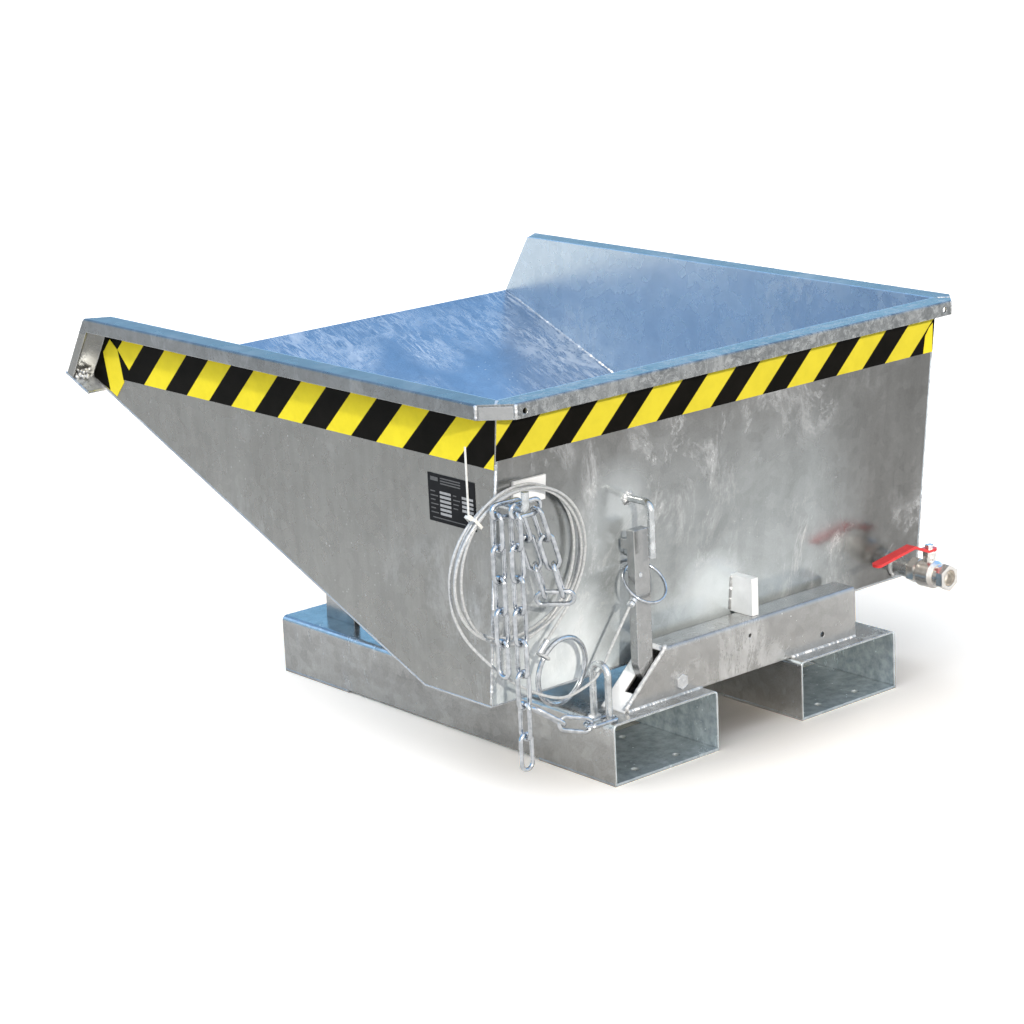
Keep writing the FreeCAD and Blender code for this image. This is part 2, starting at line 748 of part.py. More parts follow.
def rest_lug():
    low = channel_top + seat_gap
    high = low + rest_lug_height
    rear = channel_rear_y + rest_lug_inset
    return prism_x([(rear, low), (wall_y(low), low), (wall_y(high), high), (rear, high)],
                   rest_lug_x, rest_lug_x + rest_lug_thickness)


def wall_plate():
    middle = hook_x + wall_plate_offset
    body = wall_block(middle - wall_plate_width / 2, middle + wall_plate_width / 2, 0, wall_plate_thickness,
                      hook_height - wall_plate_height / 3, hook_height + wall_plate_height * 2 / 3)
    return body


def hanger_hook():
    start = Vector(hook_x, wall_y(hook_height), hook_height)
    corner = start - Vector(0, hook_reach, 0)
    body = bent_rod([start + Vector(0, sheet, 0), corner, corner + Vector(0, 0, hook_tip)], hook_rod_radius, hook_bend)
    return body.cut(wall_block(hook_x - 20, hook_x + 20, -10 * sheet, 0, hook_height - 20, hook_height + 20))


def chain_link(centre, along, across):
    # Welded link: two straight sides and two half-round ends, long axis along, flat in along and across.
    along = Vector(along).normalize()
    across = (across - along * across.dot(along)).normalize()
    bend = link_inner_width / 2 + link_wire_radius
    half = (link_pitch - link_inner_width) / 2
    up = along * half
    out = across * bend
    tip = along * (half + bend)
    edges = [Part.makeLine(centre - up + out, centre + up + out),
             Part.Arc(centre + up + out, centre + tip, centre + up - out).toShape(),
             Part.makeLine(centre + up - out, centre - up - out),
             Part.Arc(centre - up - out, centre - tip, centre - up + out).toShape()]
    profile = Part.Wire(Part.makeCircle(link_wire_radius, centre - up + out, along))
    return Part.Wire(edges).makePipeShell([profile], True, False)


link_step = link_pitch - link_slack
link_half_wire = link_pitch / 2 + link_wire_radius


def strand(top, down, first_across, second_across, count, first=0, twist=0.0):
    links = []
    for k in range(first, first + count):
        across = first_across if k % 2 == 0 else second_across
        across = FreeCAD.Rotation(down, twist * k).multVec(across)
        links.append(chain_link(top + down * (link_half_wire + k * link_step), down, across))
    return links


chain_y = wall_y(hook_height) - chain_standoff
hang_height = hook_height + hook_rod_radius + seat_gap - link_inner_width / 2
down = Vector(0, 0, -1)
across_x = Vector(1, 0, 0)
across_y = Vector(0, 1, 0)


def strand_top(row, side):
    centre_x = chain_x + row * chain_row_shift
    return Vector(centre_x + side * hang_offset, chain_y - row * chain_row_step, hang_height - hang_drop)


def chain_bundle():
    # Two links lie across the hook, and a strand hangs from each end of both.
    links = []
    for row in (0, 1):
        middle = Vector(chain_x + row * chain_row_shift, chain_y - row * chain_row_step, hang_height)
        links.append(chain_link(middle, across_x, Vector(0, 0, 1)))
    links += strand(strand_top(1, -1), down, across_y, across_x, left_strand_links)
    links += strand(strand_top(0, -1), down, across_y, across_x, long_strand_links)
    lean = math.radians(loose_lean)
    aside = Vector(math.sin(lean), 0, -math.cos(lean))
    level = Vector(math.cos(lean), 0, math.sin(lean))
    ends = []
    gap = strand_top(0, 1) - strand_top(1, 1)
    twist = -math.degrees(math.atan2(gap.y, gap.x)) / (loose_strand_links - 1)
    for row in (0, 1):
        top = strand_top(row, 1)
        links += strand(top, aside, across_y, level, loose_strand_links, 0, twist)
        ends.append(top + aside * (2 * link_half_wire + (loose_strand_links - 1) * link_step))
    between = (ends[0] + ends[1]) * 0.5
    sag = link_inner_width / 2 - link_wire_radius - seat_gap
    links.append(chain_link(between + aside * sag, ends[0] - ends[1], aside))
    return Part.makeCompound(links)


chain_swing = strand_top(0, -1) + down * (long_strand_links * link_step + link_slack / 2)


def chain_free_end():
    return Part.makeCompound(strand(strand_top(0, -1), down, across_y, across_x, free_end_links, long_strand_links))


def chain_tail():
    # The chain's first link lies on the pocket round the guide loop's rear leg, and two more follow it.
    centre = Vector(loop_x - link_inner_width - link_wire_radius, loop_rear_y,
                    pocket_top + link_wire_radius + seat_gap)
    ways = [Vector(-0.93, 0.20, 0.28), Vector(-0.66, 0.46, 0.52)]
    sides = [Vector(0, 0, 1), across_y]
    links = [chain_link(centre, Vector(-1, 0, 0), across_y)]
    way = Vector(-1, 0, 0)
    for k in range(2):
        joint = centre + way * (link_half_wire - link_wire_radius - link_slack / 2)
        way = Vector(ways[k]).normalize()
        centre = joint + way * (link_half_wire - link_wire_radius - link_slack / 2)
        links.append(chain_link(centre, way, sides[k]))
    return Part.makeCompound(links)


def cable_guide_loop():
    top = pocket_top + loop_height - loop_rod_radius - loop_span / 2
    rear = Vector(loop_x, loop_rear_y, pocket_top)
    front = Vector(loop_x, loop_front_y, pocket_top)
    rear_high = Vector(loop_x, loop_rear_y, top)
    front_high = Vector(loop_x, loop_front_y, top)
    crown = Vector(loop_x, (loop_rear_y + loop_front_y) / 2, top + loop_span / 2)
    path = Part.Wire([Part.makeLine(rear, rear_high), Part.Arc(rear_high, crown, front_high).toShape(),
                      Part.makeLine(front_high, front)])
    profile = Part.Wire(Part.makeCircle(loop_rod_radius, rear, Vector(0, 0, 1)))
    return path.makePipeShell([profile], True, False)


# The cable's route from the release ring through the guide loop, and on to the coil
lead_route = [Vector(-213, -466, 229), Vector(-230, -464, 203), Vector(-246, -461, 176), Vector(-258, -458, 153),
              Vector(-272, -456, 139), Vector(-291, -454, 133)]
run_route = [Vector(-291, -454, 133), Vector(-311.9, -451.8, 126.4), Vector(-338, -450, 132), Vector(-368, -448, 147),
             Vector(-402, -445, 169), Vector(-436, -439, 202)]


def coil_point(turned):
    angle = math.radians(coil_start_angle - turned)
    wave = math.radians(turned)
    half_width = coil_half_width + coil_spread * math.sin(0.37 * wave + 0.6)
    half_height = coil_half_height + coil_sag * math.sin(0.53 * wave + 2.0)
    aside = (hook_x - coil_x) / (coil_half_width - coil_spread)
    top = hook_height + hook_rod_radius + cable_radius + coil_clearance
    top += (coil_half_height + coil_sag) * (1 - math.sqrt(1 - aside ** 2)) + 0.2
    top += coil_fan * (0.5 - 0.5 * math.cos(0.41 * wave - 0.75))
    x = coil_x + half_width * math.cos(angle)
    z = top - half_height + half_height * math.sin(angle)
    layer = coil_inner_standoff + coil_layer * turned / 360
    return Vector(x, wall_y(z) - layer * math.sqrt(1 + wall_slope ** 2), z)


def coil_way(turned):
    return (coil_point(turned + 0.01) - coil_point(turned - 0.01)).normalize()


def arc_from(start, way, end):
    chord = end - start
    lean = Vector(chord).normalize()
    side = way - lean * way.dot(lean)
    turn = math.acos(max(-1.0, min(1.0, way.dot(lean))))
    middle = (start + end) * 0.5 + side.normalize() * (chord.Length / 2 * math.tan(turn / 2))
    return Part.Arc(start, middle, end).toShape()


def biarc(start, way_in, end, way_out):
    chord = end - start
    both = way_in + way_out
    square = 2 * (1 - way_in.dot(way_out))
    reach = (-chord.dot(both) + math.sqrt(chord.dot(both) ** 2 + square * chord.dot(chord))) / square
    joint = (start + way_in * reach + end - way_out * reach) * 0.5
    back = arc_from(end, way_out * -1, joint)
    return [arc_from(start, way_in, joint), Part.Arc(joint, back.valueAt((back.FirstParameter + back.LastParameter) / 2),
                                                     end).toShape()]


def pull_cable_coil():
    steps = int(math.ceil(coil_turn / coil_step))
    stops = [coil_turn * k / steps for k in range(steps + 1)]
    edges = []
    for a, b in zip(stops[:-1], stops[1:]):
        edges += biarc(coil_point(a), coil_way(a), coil_point(b), coil_way(b))
    path = Part.Wire(edges)
    profile = Part.Wire(Part.makeCircle(cable_radius, coil_point(0), coil_way(0)))
    solid = path.makePipeShell([profile], True, False)
    samples = [coil_point(turned) for turned in range(0, int(coil_turn) + 1, 3)]
    least = min((samples[i] - samples[j]).Length for i in range(len(samples)) for j in range(i + 60, len(samples)))
    print("pull_cable_coil length", round(path.Length, 1), "least gap to itself", round(least - 2 * cable_radius, 2),
          "volume share", round(solid.Volume / (math.pi * cable_radius ** 2 * path.Length), 4))
    return solid


ring_place = Vector(pull_ring_x, wall_y(pull_ring_height), pull_ring_height) + wall_normal * pull_ring_standoff
ring_up = wall_normal.cross(Vector(1, 0, 0)).normalize()
if ring_up.z < 0:
    ring_up = ring_up * -1
ring_right = FreeCAD.Rotation(ring_up, pull_ring_turn).multVec(Vector(1, 0, 0))
ring_facing = ring_right.cross(ring_up)
eye_angle = math.radians(140)
eye_way = ring_right * math.cos(eye_angle) + ring_up * math.sin(eye_angle)
eye_centre = ring_place + eye_way * (pull_ring_radius + eye_radius - cable_radius - pull_ring_wire - seat_gap)


def pull_ring():
    return ring_solid(ring_place, ring_facing, pull_ring_radius, pull_ring_wire)


def cable_eye():
    return ring_solid(eye_centre, eye_way.cross(ring_facing), eye_radius, cable_radius)


coil_end = coil_point(coil_turn)
ferrule_low = eye_centre + eye_way * (eye_radius + cable_radius)
ferrule_way = (coil_end + coil_way(coil_turn) * 10 - ferrule_low).normalize()
ferrule_high = ferrule_low + ferrule_way * ferrule_length


def cable_ferrule():
    sleeve = rod(ferrule_low, ferrule_high, ferrule_radius)
    sleeve = sleeve.cut(cable_eye())
    return sleeve.cut(rod(ferrule_high - ferrule_way * ferrule_length / 2, ferrule_high, cable_radius))


tail_route = [coil_end, coil_end + coil_way(coil_turn) * 9, ferrule_high + ferrule_way * 8,
              ferrule_high - ferrule_way * ferrule_length / 2]


def cable_tie():
    # Band round the coil's turns at one place, its head and its long uncut tail.
    turned = coil_start_angle - tie_angle
    lows = [coil_point(turned + 360 * k) for k in range(4)]
    middle = (lows[0] + lows[3]) * 0.5
    way = coil_way(turned)
    deep = wall_normal
    out = way.cross(deep).normalize()
    deep = out.cross(way).normalize()
    reach_out = max(abs((p - middle).dot(out)) for p in lows) + cable_radius + tie_slack
    reach_deep = max(abs((p - middle).dot(deep)) for p in lows) + cable_radius + seat_gap

    def slab(a, b):
        corner = middle - way * (tie_width / 2)
        return prism([corner + out * a + deep * b, corner - out * a + deep * b,
                      corner - out * a - deep * b, corner + out * a - deep * b], way * tie_width)

    band = slab(reach_out + tie_band, reach_deep + tie_band).cut(slab(reach_out, reach_deep))
    if out.x > 0:
        out = out * -1
    head_place = middle + out * (reach_out + tie_band)
    corner = head_place - out * (tie_band / 2) - way * 3 - deep * 3
    head = prism([corner, corner + way * 6, corner + way * 6 + deep * 6, corner + deep * 6], out * (4 + tie_band / 2))
    tail = box(head_place.x - 3.0, head_place.x - 1.8, head_place.y - 1.3, head_place.y + 1.3,
               head_place.z, head_place.z + tie_tail)
    return band.fuse([head, tail]).removeSplitter()


def cable_clamps():
    # Two saddles with their wire bow, at the cable's end on the release ring.
    way = (lead_route[1] - lead_route[0]).normalize()
    start = clamp_place + (lead_route[0] - clamp_place) * 0.28
    clamps = []
    for k in range(2):
        near = start + (lead_route[0] - clamp_place) * (0.34 * k)
        block = rod(near, near + (lead_route[0] - clamp_place).normalize() * (clamp_size * 0.4), clamp_size / 2)
        clamps.append(block)
    core = rod(start, lead_route[0] - way * 4 * seat_gap, cable_radius)
    return core.fuse(clamps).removeSplitter()


valve_wall_y = wall_y(valve_height)
nipple_end_y = valve_wall_y - nipple_length
inlet_y = nipple_end_y + inlet_length * 0.6
barrel_start_y = inlet_y - inlet_length
barrel_end_y = barrel_start_y - barrel_length
outlet_end_y = barrel_end_y - outlet_length
ball_y = (barrel_start_y + barrel_end_y) / 2


def valve_point(y, up=0.0):
    return Vector(valve_x, y, valve_height + up)


def drain_nipple():
    start = valve_point(valve_wall_y + 2 * sheet)
    end = valve_point(nipple_end_y)
    return rod(start, end, nipple_radius).cut(rod(start, end, nipple_bore))


cavity = ball_radius + cavity_clearance


def valve_body():
    inlet = hexagon(valve_point(inlet_y), valve_point(barrel_start_y), hex_across)
    half = barrel_length / 2
    neck = hex_across / 2
    profile = [(barrel_start_y, 0), (barrel_start_y, neck), (barrel_start_y - half * 0.35, barrel_radius),
               (barrel_end_y + half * 0.35, barrel_radius), (barrel_end_y, neck), (barrel_end_y, 0)]
    face = Part.Face(Part.makePolygon([Vector(valve_x, y, valve_height + r) for y, r in profile + profile[:1]]))
    barrel = face.revolve(valve_point(0), Vector(0, 1, 0), 360)
    boss = rod(valve_point(ball_y), valve_point(ball_y, barrel_radius + boss_height), boss_radius)
    body = inlet.fuse([barrel, boss]).removeSplitter()
    body = body.cut(rod(valve_point(inlet_y), valve_point(nipple_end_y), nipple_radius + running))
    body = body.cut(rod(valve_point(nipple_end_y), valve_point(barrel_end_y), ball_bore))
    body = body.cut(rod(valve_point(ball_y + cavity + seat_length), valve_point(barrel_end_y), cavity))
    stem_hole = rod(valve_point(ball_y), valve_point(ball_y, barrel_radius + boss_height), stem_radius + running)
    return body.cut(stem_hole)


def valve_outlet():
    plug_y = ball_y - cavity - seat_length
    plug = rod(valve_point(plug_y), valve_point(barrel_end_y), cavity)
    collar_y = barrel_end_y - outlet_length * 0.45
    round_part = rod(valve_point(barrel_end_y), valve_point(collar_y), hex_across * 0.47)
    hex_part = hexagon(valve_point(collar_y), valve_point(outlet_end_y), hex_across)
    end = round_part.fuse(hex_part)
    body = end.fuse(plug).removeSplitter()
    body = body.cut(rod(valve_point(plug_y), valve_point(outlet_end_y), ball_bore))
    return body.cut(rod(valve_point(outlet_end_y + outlet_thread_length), valve_point(outlet_end_y), outlet_bore))


def valve_seats():
    seats = []
    ball = Part.makeSphere(ball_radius + running, valve_point(ball_y))
    for side in (-1, 1):
        start = valve_point(ball_y + side * (cavity + seat_length))
        end = valve_point(ball_y + side * ball_bore)
        seat = rod(start, end, cavity - running).cut(rod(start, end, ball_bore))
        seats.append(seat.cut(ball))
    return Part.makeCompound(seats)


def valve_ball():
    ball = Part.makeSphere(ball_radius, valve_point(ball_y))
    across = Vector(2 * ball_radius, 0, 0)
    ball = ball.cut(rod(valve_point(ball_y) - across, valve_point(ball_y) + across, ball_bore))
    slot = box(valve_x - stem_radius, valve_x + stem_radius, ball_y - stem_radius / 2, ball_y + stem_radius / 2,
               valve_height + ball_radius - stem_radius / 2, valve_height + 2 * ball_radius)
    return ball.cut(slot)


gland_low = barrel_radius + boss_height
handle_low = gland_low + gland_height + seat_gap
handle_high = handle_low + handle_thickness


def valve_stem():
    low = ball_radius - stem_radius / 2
    tang = box(valve_x - stem_radius * 0.8, valve_x + stem_radius * 0.8, ball_y - stem_radius / 2 + running,
               ball_y + stem_radius / 2 - running, valve_height + low + running, valve_height + ball_radius + 1)
    shaft = rod(valve_point(ball_y, ball_radius + seat_gap), valve_point(ball_y, handle_high + handle_nut_height),
                stem_radius)
    return shaft.fuse(tang).removeSplitter()


def packing_nut():
    start = valve_point(ball_y, gland_low)
    end = valve_point(ball_y, gland_low + gland_height)
    return hexagon(start, end, gland_across).cut(rod(start, end, stem_radius + running))


def valve_handle():
    # Cranked flat lever, pointing along -X when the valve is shut.
    low = valve_height + handle_low
    hub = handle_width * 0.6
    rise = handle_length * 0.33
    deep = handle_thickness
    profile = [(hub, low), (-hub, low), (-rise, low + handle_kick), (-handle_length, low),
               (-handle_length, low + deep), (-rise, low + handle_kick + deep), (-hub, low + deep), (hub, low + deep)]
    blade = prism_y([(valve_x + x, z) for x, z in profile], ball_y - handle_width / 2, ball_y + handle_width / 2)
    plan = prism_z([(valve_x + hub + 5, ball_y - handle_width), (valve_x + hub + 5, ball_y + handle_width),
                    (valve_x - handle_length, ball_y + handle_width), (valve_x - handle_length, ball_y - handle_width)],
                   low - 1, low + 3 * handle_kick)
    blade = blade.common(plan)
    upright = edges_where(blade, lambda e: lies_along(e, Vector(0, 0, 1), {}))
    blade = blade.makeFillet(handle_width * 0.35, upright)
    return blade.cut(rod(valve_point(ball_y, handle_low - 1), valve_point(ball_y, handle_high + 1),
                         stem_radius + running))


def handle_nut():
    start = valve_point(ball_y, handle_high)
    end = valve_point(ball_y, handle_high + handle_nut_height)
    return hexagon(start, end, handle_nut_across).cut(rod(start, end, stem_radius))


def hazard_tape_side():
    high = rim_under - tape_drop
    low = high - tape_height
    way = (lip_y - mouth_top_y) / (rim_height - mouth_bottom_z)

    def mouth_y(z):
        return mouth_top_y + (rim_height - z) * way

    drop_end = floor_top(lip_y) + sheet
    strip = tape_height * 0.65
    band = prism_x([(wall_y(low) + sheet, low), (wall_y(high) + sheet, high), (mouth_y(high) - 2 * sheet, high),
                    (mouth_y(low) - 2 * sheet, low)], skip_half_width, skip_half_width + tape_thickness)
    fall = prism_x([(mouth_y(low) - 2 * sheet, low), (mouth_y(low) - strip, low),
                    (mouth_y(low) - strip * 0.92, floor_top(mouth_y(low) - strip * 0.92) + sheet),
                    (mouth_y(low) - 2 * sheet, floor_top(mouth_y(low) - 2 * sheet) + sheet)],
                   skip_half_width, skip_half_width + tape_thickness)
    return band.fuse(fall).removeSplitter()


def hazard_tape_rear():
    high = rim_under - tape_drop
    return wall_block(-skip_half_width, skip_half_width, 0, tape_thickness, high - rear_tape_height, high)


def name_plate():
    body = box(-skip_half_width - plate_thickness, -skip_half_width, plate_rear_y, plate_rear_y + plate_width,
               plate_bottom, plate_bottom + plate_height)
    return body


strap_front_y = pocket_rear_y + pocket_length - strap_length
right_pocket = fork_pocket()
right_rear_strap = strap(pocket_rear_y)
right_front_strap = strap(strap_front_y)
right_lug = hinge_lug()
right_ear = hinge_ear()
right_bush = hinge_bush()
right_side = side_sheet()
left_side = mirrored(right_side)
rear = rear_sheet()
right_corner = rim_corner()
right_tape = hazard_tape_side()

pieces = {
    "fork_pocket_left": mirrored(right_pocket),
    "fork_pocket_right": right_pocket,
    "rear_strap_left": mirrored(right_rear_strap),
    "rear_strap_right": right_rear_strap,
    "front_strap_left": mirrored(right_front_strap),
    "front_strap_right": right_front_strap,
    "cross_channel": cross_channel(),
    "hinge_lug_left": mirrored(right_lug),
    "hinge_lug_right": right_lug,
    "tipping_axle": tipping_axle(),
    "axle_washers": axle_washers(),
    "axle_split_pins": axle_split_pins(),
    "cable_guide_loop": cable_guide_loop(),
    "lever_pivot_bolt": lever_pivot_bolt(),
    "lever_pivot_nut": lever_pivot_nut(),
    "lever_spacers": lever_spacers(),
    "chain_tail": chain_tail(),
    "pull_cable_lead": tube(lead_route, cable_radius, "pull_cable_lead"),
    "pull_cable_run": tube(run_route + [coil_point(0) - coil_way(0) * 36, coil_point(0)], cable_radius,
                           "pull_cable_run"),
    "left_side_sheet": left_side,
    "right_side_sheet": right_side,
    "rear_sheet": rear,
    "floor_sheet": floor_sheet(),
    "rim_corner_left": mirrored(right_corner),
    "rim_corner_right": right_corner,
    "hinge_ear_left": mirrored(right_ear),
    "hinge_ear_right": right_ear,
    "hinge_bush_left": mirrored(right_bush),
    "hinge_bush_right": right_bush,
    "rest_lug": rest_lug(),
    "lever_keeper": keeper(),
    "catch_pin": catch_pin(),
    "wall_plate": wall_plate(),
    "hanger_hook": hanger_hook(),
    "chain_bundle": chain_bundle(),
    "pull_cable_coil": pull_cable_coil(),
    "pull_cable_tail": tube(tail_route, cable_radius, "pull_cable_tail"),
    "cable_ferrule": cable_ferrule(),
    "cable_eye": cable_eye(),
    "cable_tie": cable_tie(),
    "pull_ring": pull_ring(),
    "drain_nipple": drain_nipple(),
    "valve_body": valve_body(),
    "valve_outlet": valve_outlet(),
    "valve_seats": valve_seats(),
    "packing_nut": packing_nut(),
    "hazard_tape_left": mirrored(right_tape),
    "hazard_tape_right": right_tape,
    "hazard_tape_rear": hazard_tape_rear(),
    "name_plate": name_plate(),
    "lock_lever": lock_lever(),
    "ring_pin": ring_pin(),
    "release_ring": ring_solid(ring_centre, ring_normal, release_ring_radius, release_wire_radius),
    "cable_clamps": cable_clamps(),
    "valve_handle": valve_handle(),
    "valve_stem": valve_stem(),
    "valve_ball": valve_ball(),
    "handle_nut": handle_nut(),
    "chain_free_end": chain_free_end(),
}

os.makedirs("parts", exist_ok=True)
for name, shape in pieces.items():
    shape.exportStep(os.path.join("parts", name + ".step"))
whole = FreeCAD.BoundBox()
for shape in pieces.values():
    whole.add(shape.BoundBox)
print(len(pieces), "pieces, box", [round(value, 1) for value in
                                   (whole.XMin, whole.XMax, whole.YMin, whole.YMax, whole.ZMin, whole.ZMax)])
print("chain swings about", [round(value, 2) for value in chain_swing])
print("ring rests at", [round(value, 2) for value in ring_rest])
print("valve stem at y", round(ball_y, 2), "outlet end y", round(outlet_end_y, 2))
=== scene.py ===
import math

import bmesh
import bpy
from mathutils import Matrix, Vector


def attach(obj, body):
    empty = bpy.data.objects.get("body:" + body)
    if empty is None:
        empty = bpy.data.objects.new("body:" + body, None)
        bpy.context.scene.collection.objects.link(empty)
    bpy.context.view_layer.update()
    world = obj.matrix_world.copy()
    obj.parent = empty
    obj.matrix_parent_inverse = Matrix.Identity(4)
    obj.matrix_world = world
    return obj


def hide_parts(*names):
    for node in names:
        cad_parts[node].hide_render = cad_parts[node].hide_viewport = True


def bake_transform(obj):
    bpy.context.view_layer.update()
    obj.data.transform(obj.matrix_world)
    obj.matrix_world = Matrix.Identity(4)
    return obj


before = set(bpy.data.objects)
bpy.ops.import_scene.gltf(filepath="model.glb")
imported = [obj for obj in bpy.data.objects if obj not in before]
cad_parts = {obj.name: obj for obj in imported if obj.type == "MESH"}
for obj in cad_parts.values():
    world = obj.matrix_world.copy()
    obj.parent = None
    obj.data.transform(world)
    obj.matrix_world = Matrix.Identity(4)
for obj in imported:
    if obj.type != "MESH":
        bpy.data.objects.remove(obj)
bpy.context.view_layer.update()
scene = bpy.context.scene
scene.view_settings.view_transform = "Standard"

# Sizes that the finishes, welds and cable share with the solids, in metres
half_width = 0.407
sheet = 0.003
rim_top = 0.538
rim_under = 0.519
wall_top_y = -0.450
wall_slope = 42.0 / 412.0
floor_level = 0.129
ramp_start = -0.272
ramp_slope = 0.41
pocket_offset = 0.175
pocket_half = 0.095
pocket_top = 0.086
incline_normal_x = -0.674
incline_normal_z = 0.739
incline_reach = 0.2169


def wall_y(height):
    # The rear wall's outer face, which leans
    return wall_top_y + (rim_top - height) * wall_slope


def floor_top(y):
    return floor_level + max(0.0, (y - ramp_start) * ramp_slope)


# Camera, fitted to the photograph
camera_azimuth = math.radians(-39.80)
camera_elevation = math.radians(15.08)
camera_roll = math.radians(-2.77)
back = Vector((math.sin(camera_azimuth) * math.cos(camera_elevation),
               -math.cos(camera_azimuth) * math.cos(camera_elevation),
               math.sin(camera_elevation)))
right = Vector((math.cos(camera_azimuth), math.sin(camera_azimuth), 0))
up = back.cross(right)
rolled_right = right * math.cos(camera_roll) + up * math.sin(camera_roll)
rolled_up = up * math.cos(camera_roll) - right * math.sin(camera_roll)
camera_data = bpy.data.cameras.new("photo_camera")
camera_data.lens = 101.18
camera_data.sensor_width = 36
camera_data.clip_end = 100
camera = bpy.data.objects.new("photo_camera", camera_data)
scene.collection.objects.link(camera)
stand = Matrix((rolled_right, rolled_up, back)).transposed().to_4x4()
stand.translation = Vector((-2.6232, -3.1291, 1.3316))
camera.matrix_world = stand
scene.camera = camera


# Node trees
def new_material(name):
    material = bpy.data.materials.new(name)
    material.use_nodes = True
    tree = material.node_tree
    shader = tree.nodes["Principled BSDF"]
    return material, tree, shader


def add(tree, kind, **values):
    made = tree.nodes.new(kind)
    for key, value in values.items():
        setattr(made, key, value)
    return made


def join(tree, source, target):
    tree.links.new(source, target)


def coordinates(tree, scale=(1, 1, 1), moved=(0, 0, 0)):
    place = add(tree, "ShaderNodeTexCoord")
    mapping = add(tree, "ShaderNodeMapping")
    mapping.inputs["Location"].default_value = moved
    mapping.inputs["Scale"].default_value = scale
    join(tree, place.outputs["Object"], mapping.inputs["Vector"])
    return mapping.outputs["Vector"]


def noise(tree, vector, scale, detail=4.0, rough=0.55, distortion=0.0):
    made = add(tree, "ShaderNodeTexNoise")
    made.inputs["Scale"].default_value = scale
    made.inputs["Detail"].default_value = detail
    made.inputs["Roughness"].default_value = rough
    made.inputs["Distortion"].default_value = distortion
    join(tree, vector, made.inputs["Vector"])
    return made.outputs["Fac"]


def cells(tree, vector, scale):
    made = add(tree, "ShaderNodeTexVoronoi")
    made.inputs["Scale"].default_value = scale
    join(tree, vector, made.inputs["Vector"])
    return made.outputs


def ramp(tree, value, stops):
    made = add(tree, "ShaderNodeValToRGB")
    band = made.color_ramp
    while len(band.elements) < len(stops):
        band.elements.new(0.5)
    for element, (place, tone) in zip(band.elements, stops):
        element.position = place
        element.color = (tone, tone, tone, 1) if isinstance(tone, (int, float)) else (*tone, 1)
    join(tree, value, made.inputs["Fac"])
    return made.outputs["Color"]


def sums(tree, kind, a, b):
    made = add(tree, "ShaderNodeMath", operation=kind)
    for socket, value in zip(made.inputs, (a, b)):
        if isinstance(value, (int, float)):
            socket.default_value = value
        else:
            join(tree, value, socket)
    return made.outputs["Value"]


def times(tree, a, b):
    return sums(tree, "MULTIPLY", a, b)


def plus(tree, a, b):
    return sums(tree, "ADD", a, b)


def minus(tree, a, b):
    return sums(tree, "SUBTRACT", a, b)


def most(tree, a, b):
    return sums(tree, "MAXIMUM", a, b)


def blend_colours(tree, share, a, b, kind="MIX"):
    made = add(tree, "ShaderNodeMix", data_type="RGBA", blend_type=kind)
    for socket, value in zip((made.inputs["Factor"], made.inputs["A"], made.inputs["B"]), (share, a, b)):
        if isinstance(value, (int, float)):
            socket.default_value = value
        elif isinstance(value, tuple):
            socket.default_value = (*value, 1)
        else:
            join(tree, value, socket)
    return made.outputs["Result"]


def bump(tree, height, strength, distance, under=None):
    made = add(tree, "ShaderNodeBump")
    made.inputs["Strength"].default_value = strength
    made.inputs["Distance"].default_value = distance
    join(tree, height, made.inputs["Height"])
    if under is not None:
        join(tree, under, made.inputs["Normal"])
    return made.outputs["Normal"]


def dot_of(tree, a, b):
    made = add(tree, "ShaderNodeVectorMath", operation="DOT_PRODUCT")
    for socket, value in zip(made.inputs, (a, b)):
        if isinstance(value, tuple):
            socket.default_value = value
        else:
            join(tree, value, socket)
    return made.outputs["Value"]


def edge_share(tree, radius):
    # 1 at sharp edges, 0 on flat faces, and the rounded normal
    rounded = add(tree, "ShaderNodeBevel", samples=4)
    rounded.inputs["Radius"].default_value = radius
    flat = add(tree, "ShaderNodeNewGeometry")
    facing = dot_of(tree, rounded.outputs["Normal"], flat.outputs["Normal"])
    return ramp(tree, facing, [(0.80, 1.0), (0.985, 0.0)]), rounded.outputs["Normal"]


def region(tree, centre, reach):
    # 1 inside a soft ellipsoid of the object's own space, 0 outside
    place = add(tree, "ShaderNodeTexCoord")
    mapping = add(tree, "ShaderNodeMapping", vector_type="TEXTURE")
    mapping.inputs["Location"].default_value = centre
    mapping.inputs["Scale"].default_value = reach
    join(tree, place.outputs["Object"], mapping.inputs["Vector"])
    length = add(tree, "ShaderNodeVectorMath", operation="LENGTH")
    join(tree, mapping.outputs["Vector"], length.inputs[0])
    return ramp(tree, length.outputs["Value"], [(0.35, 1.0), (1.0, 0.0)])


def apart_of(tree):
    place = add(tree, "ShaderNodeTexCoord")
    apart = add(tree, "ShaderNodeSeparateXYZ")
    join(tree, place.outputs["Object"], apart.inputs["Vector"])
    return apart.outputs


def rising(tree, value, start, end):
    # 0 at start, 1 at end and beyond
    made = add(tree, "ShaderNodeMapRange")
    join(tree, value, made.inputs["Value"])
    made.inputs["From Min"].default_value = start
    made.inputs["From Max"].default_value = end
    return made.outputs["Result"]


def between(tree, value, low, high, soft):
    return times(tree, rising(tree, value, low - soft, low), rising(tree, value, high + soft, high))


def below(tree, value, high, soft):
    return rising(tree, value, high + soft, high)


# Faces of the sheets that have a finish of their own
face_blur = 0.0003


def inner_face(tree, which):
    # 1 on the face of a skip sheet that looks into the skip
    parts = apart_of(tree)
    if which == "side":
        return below(tree, sums(tree, "ABSOLUTE", parts["X"], 0.0), half_width - 0.6 * sheet, face_blur)
    lean = plus(tree, parts["Y"], times(tree, parts["Z"], wall_slope))
    middle = wall_top_y + rim_top * wall_slope + 0.5 * sheet
    return rising(tree, lean, middle - face_blur, middle)


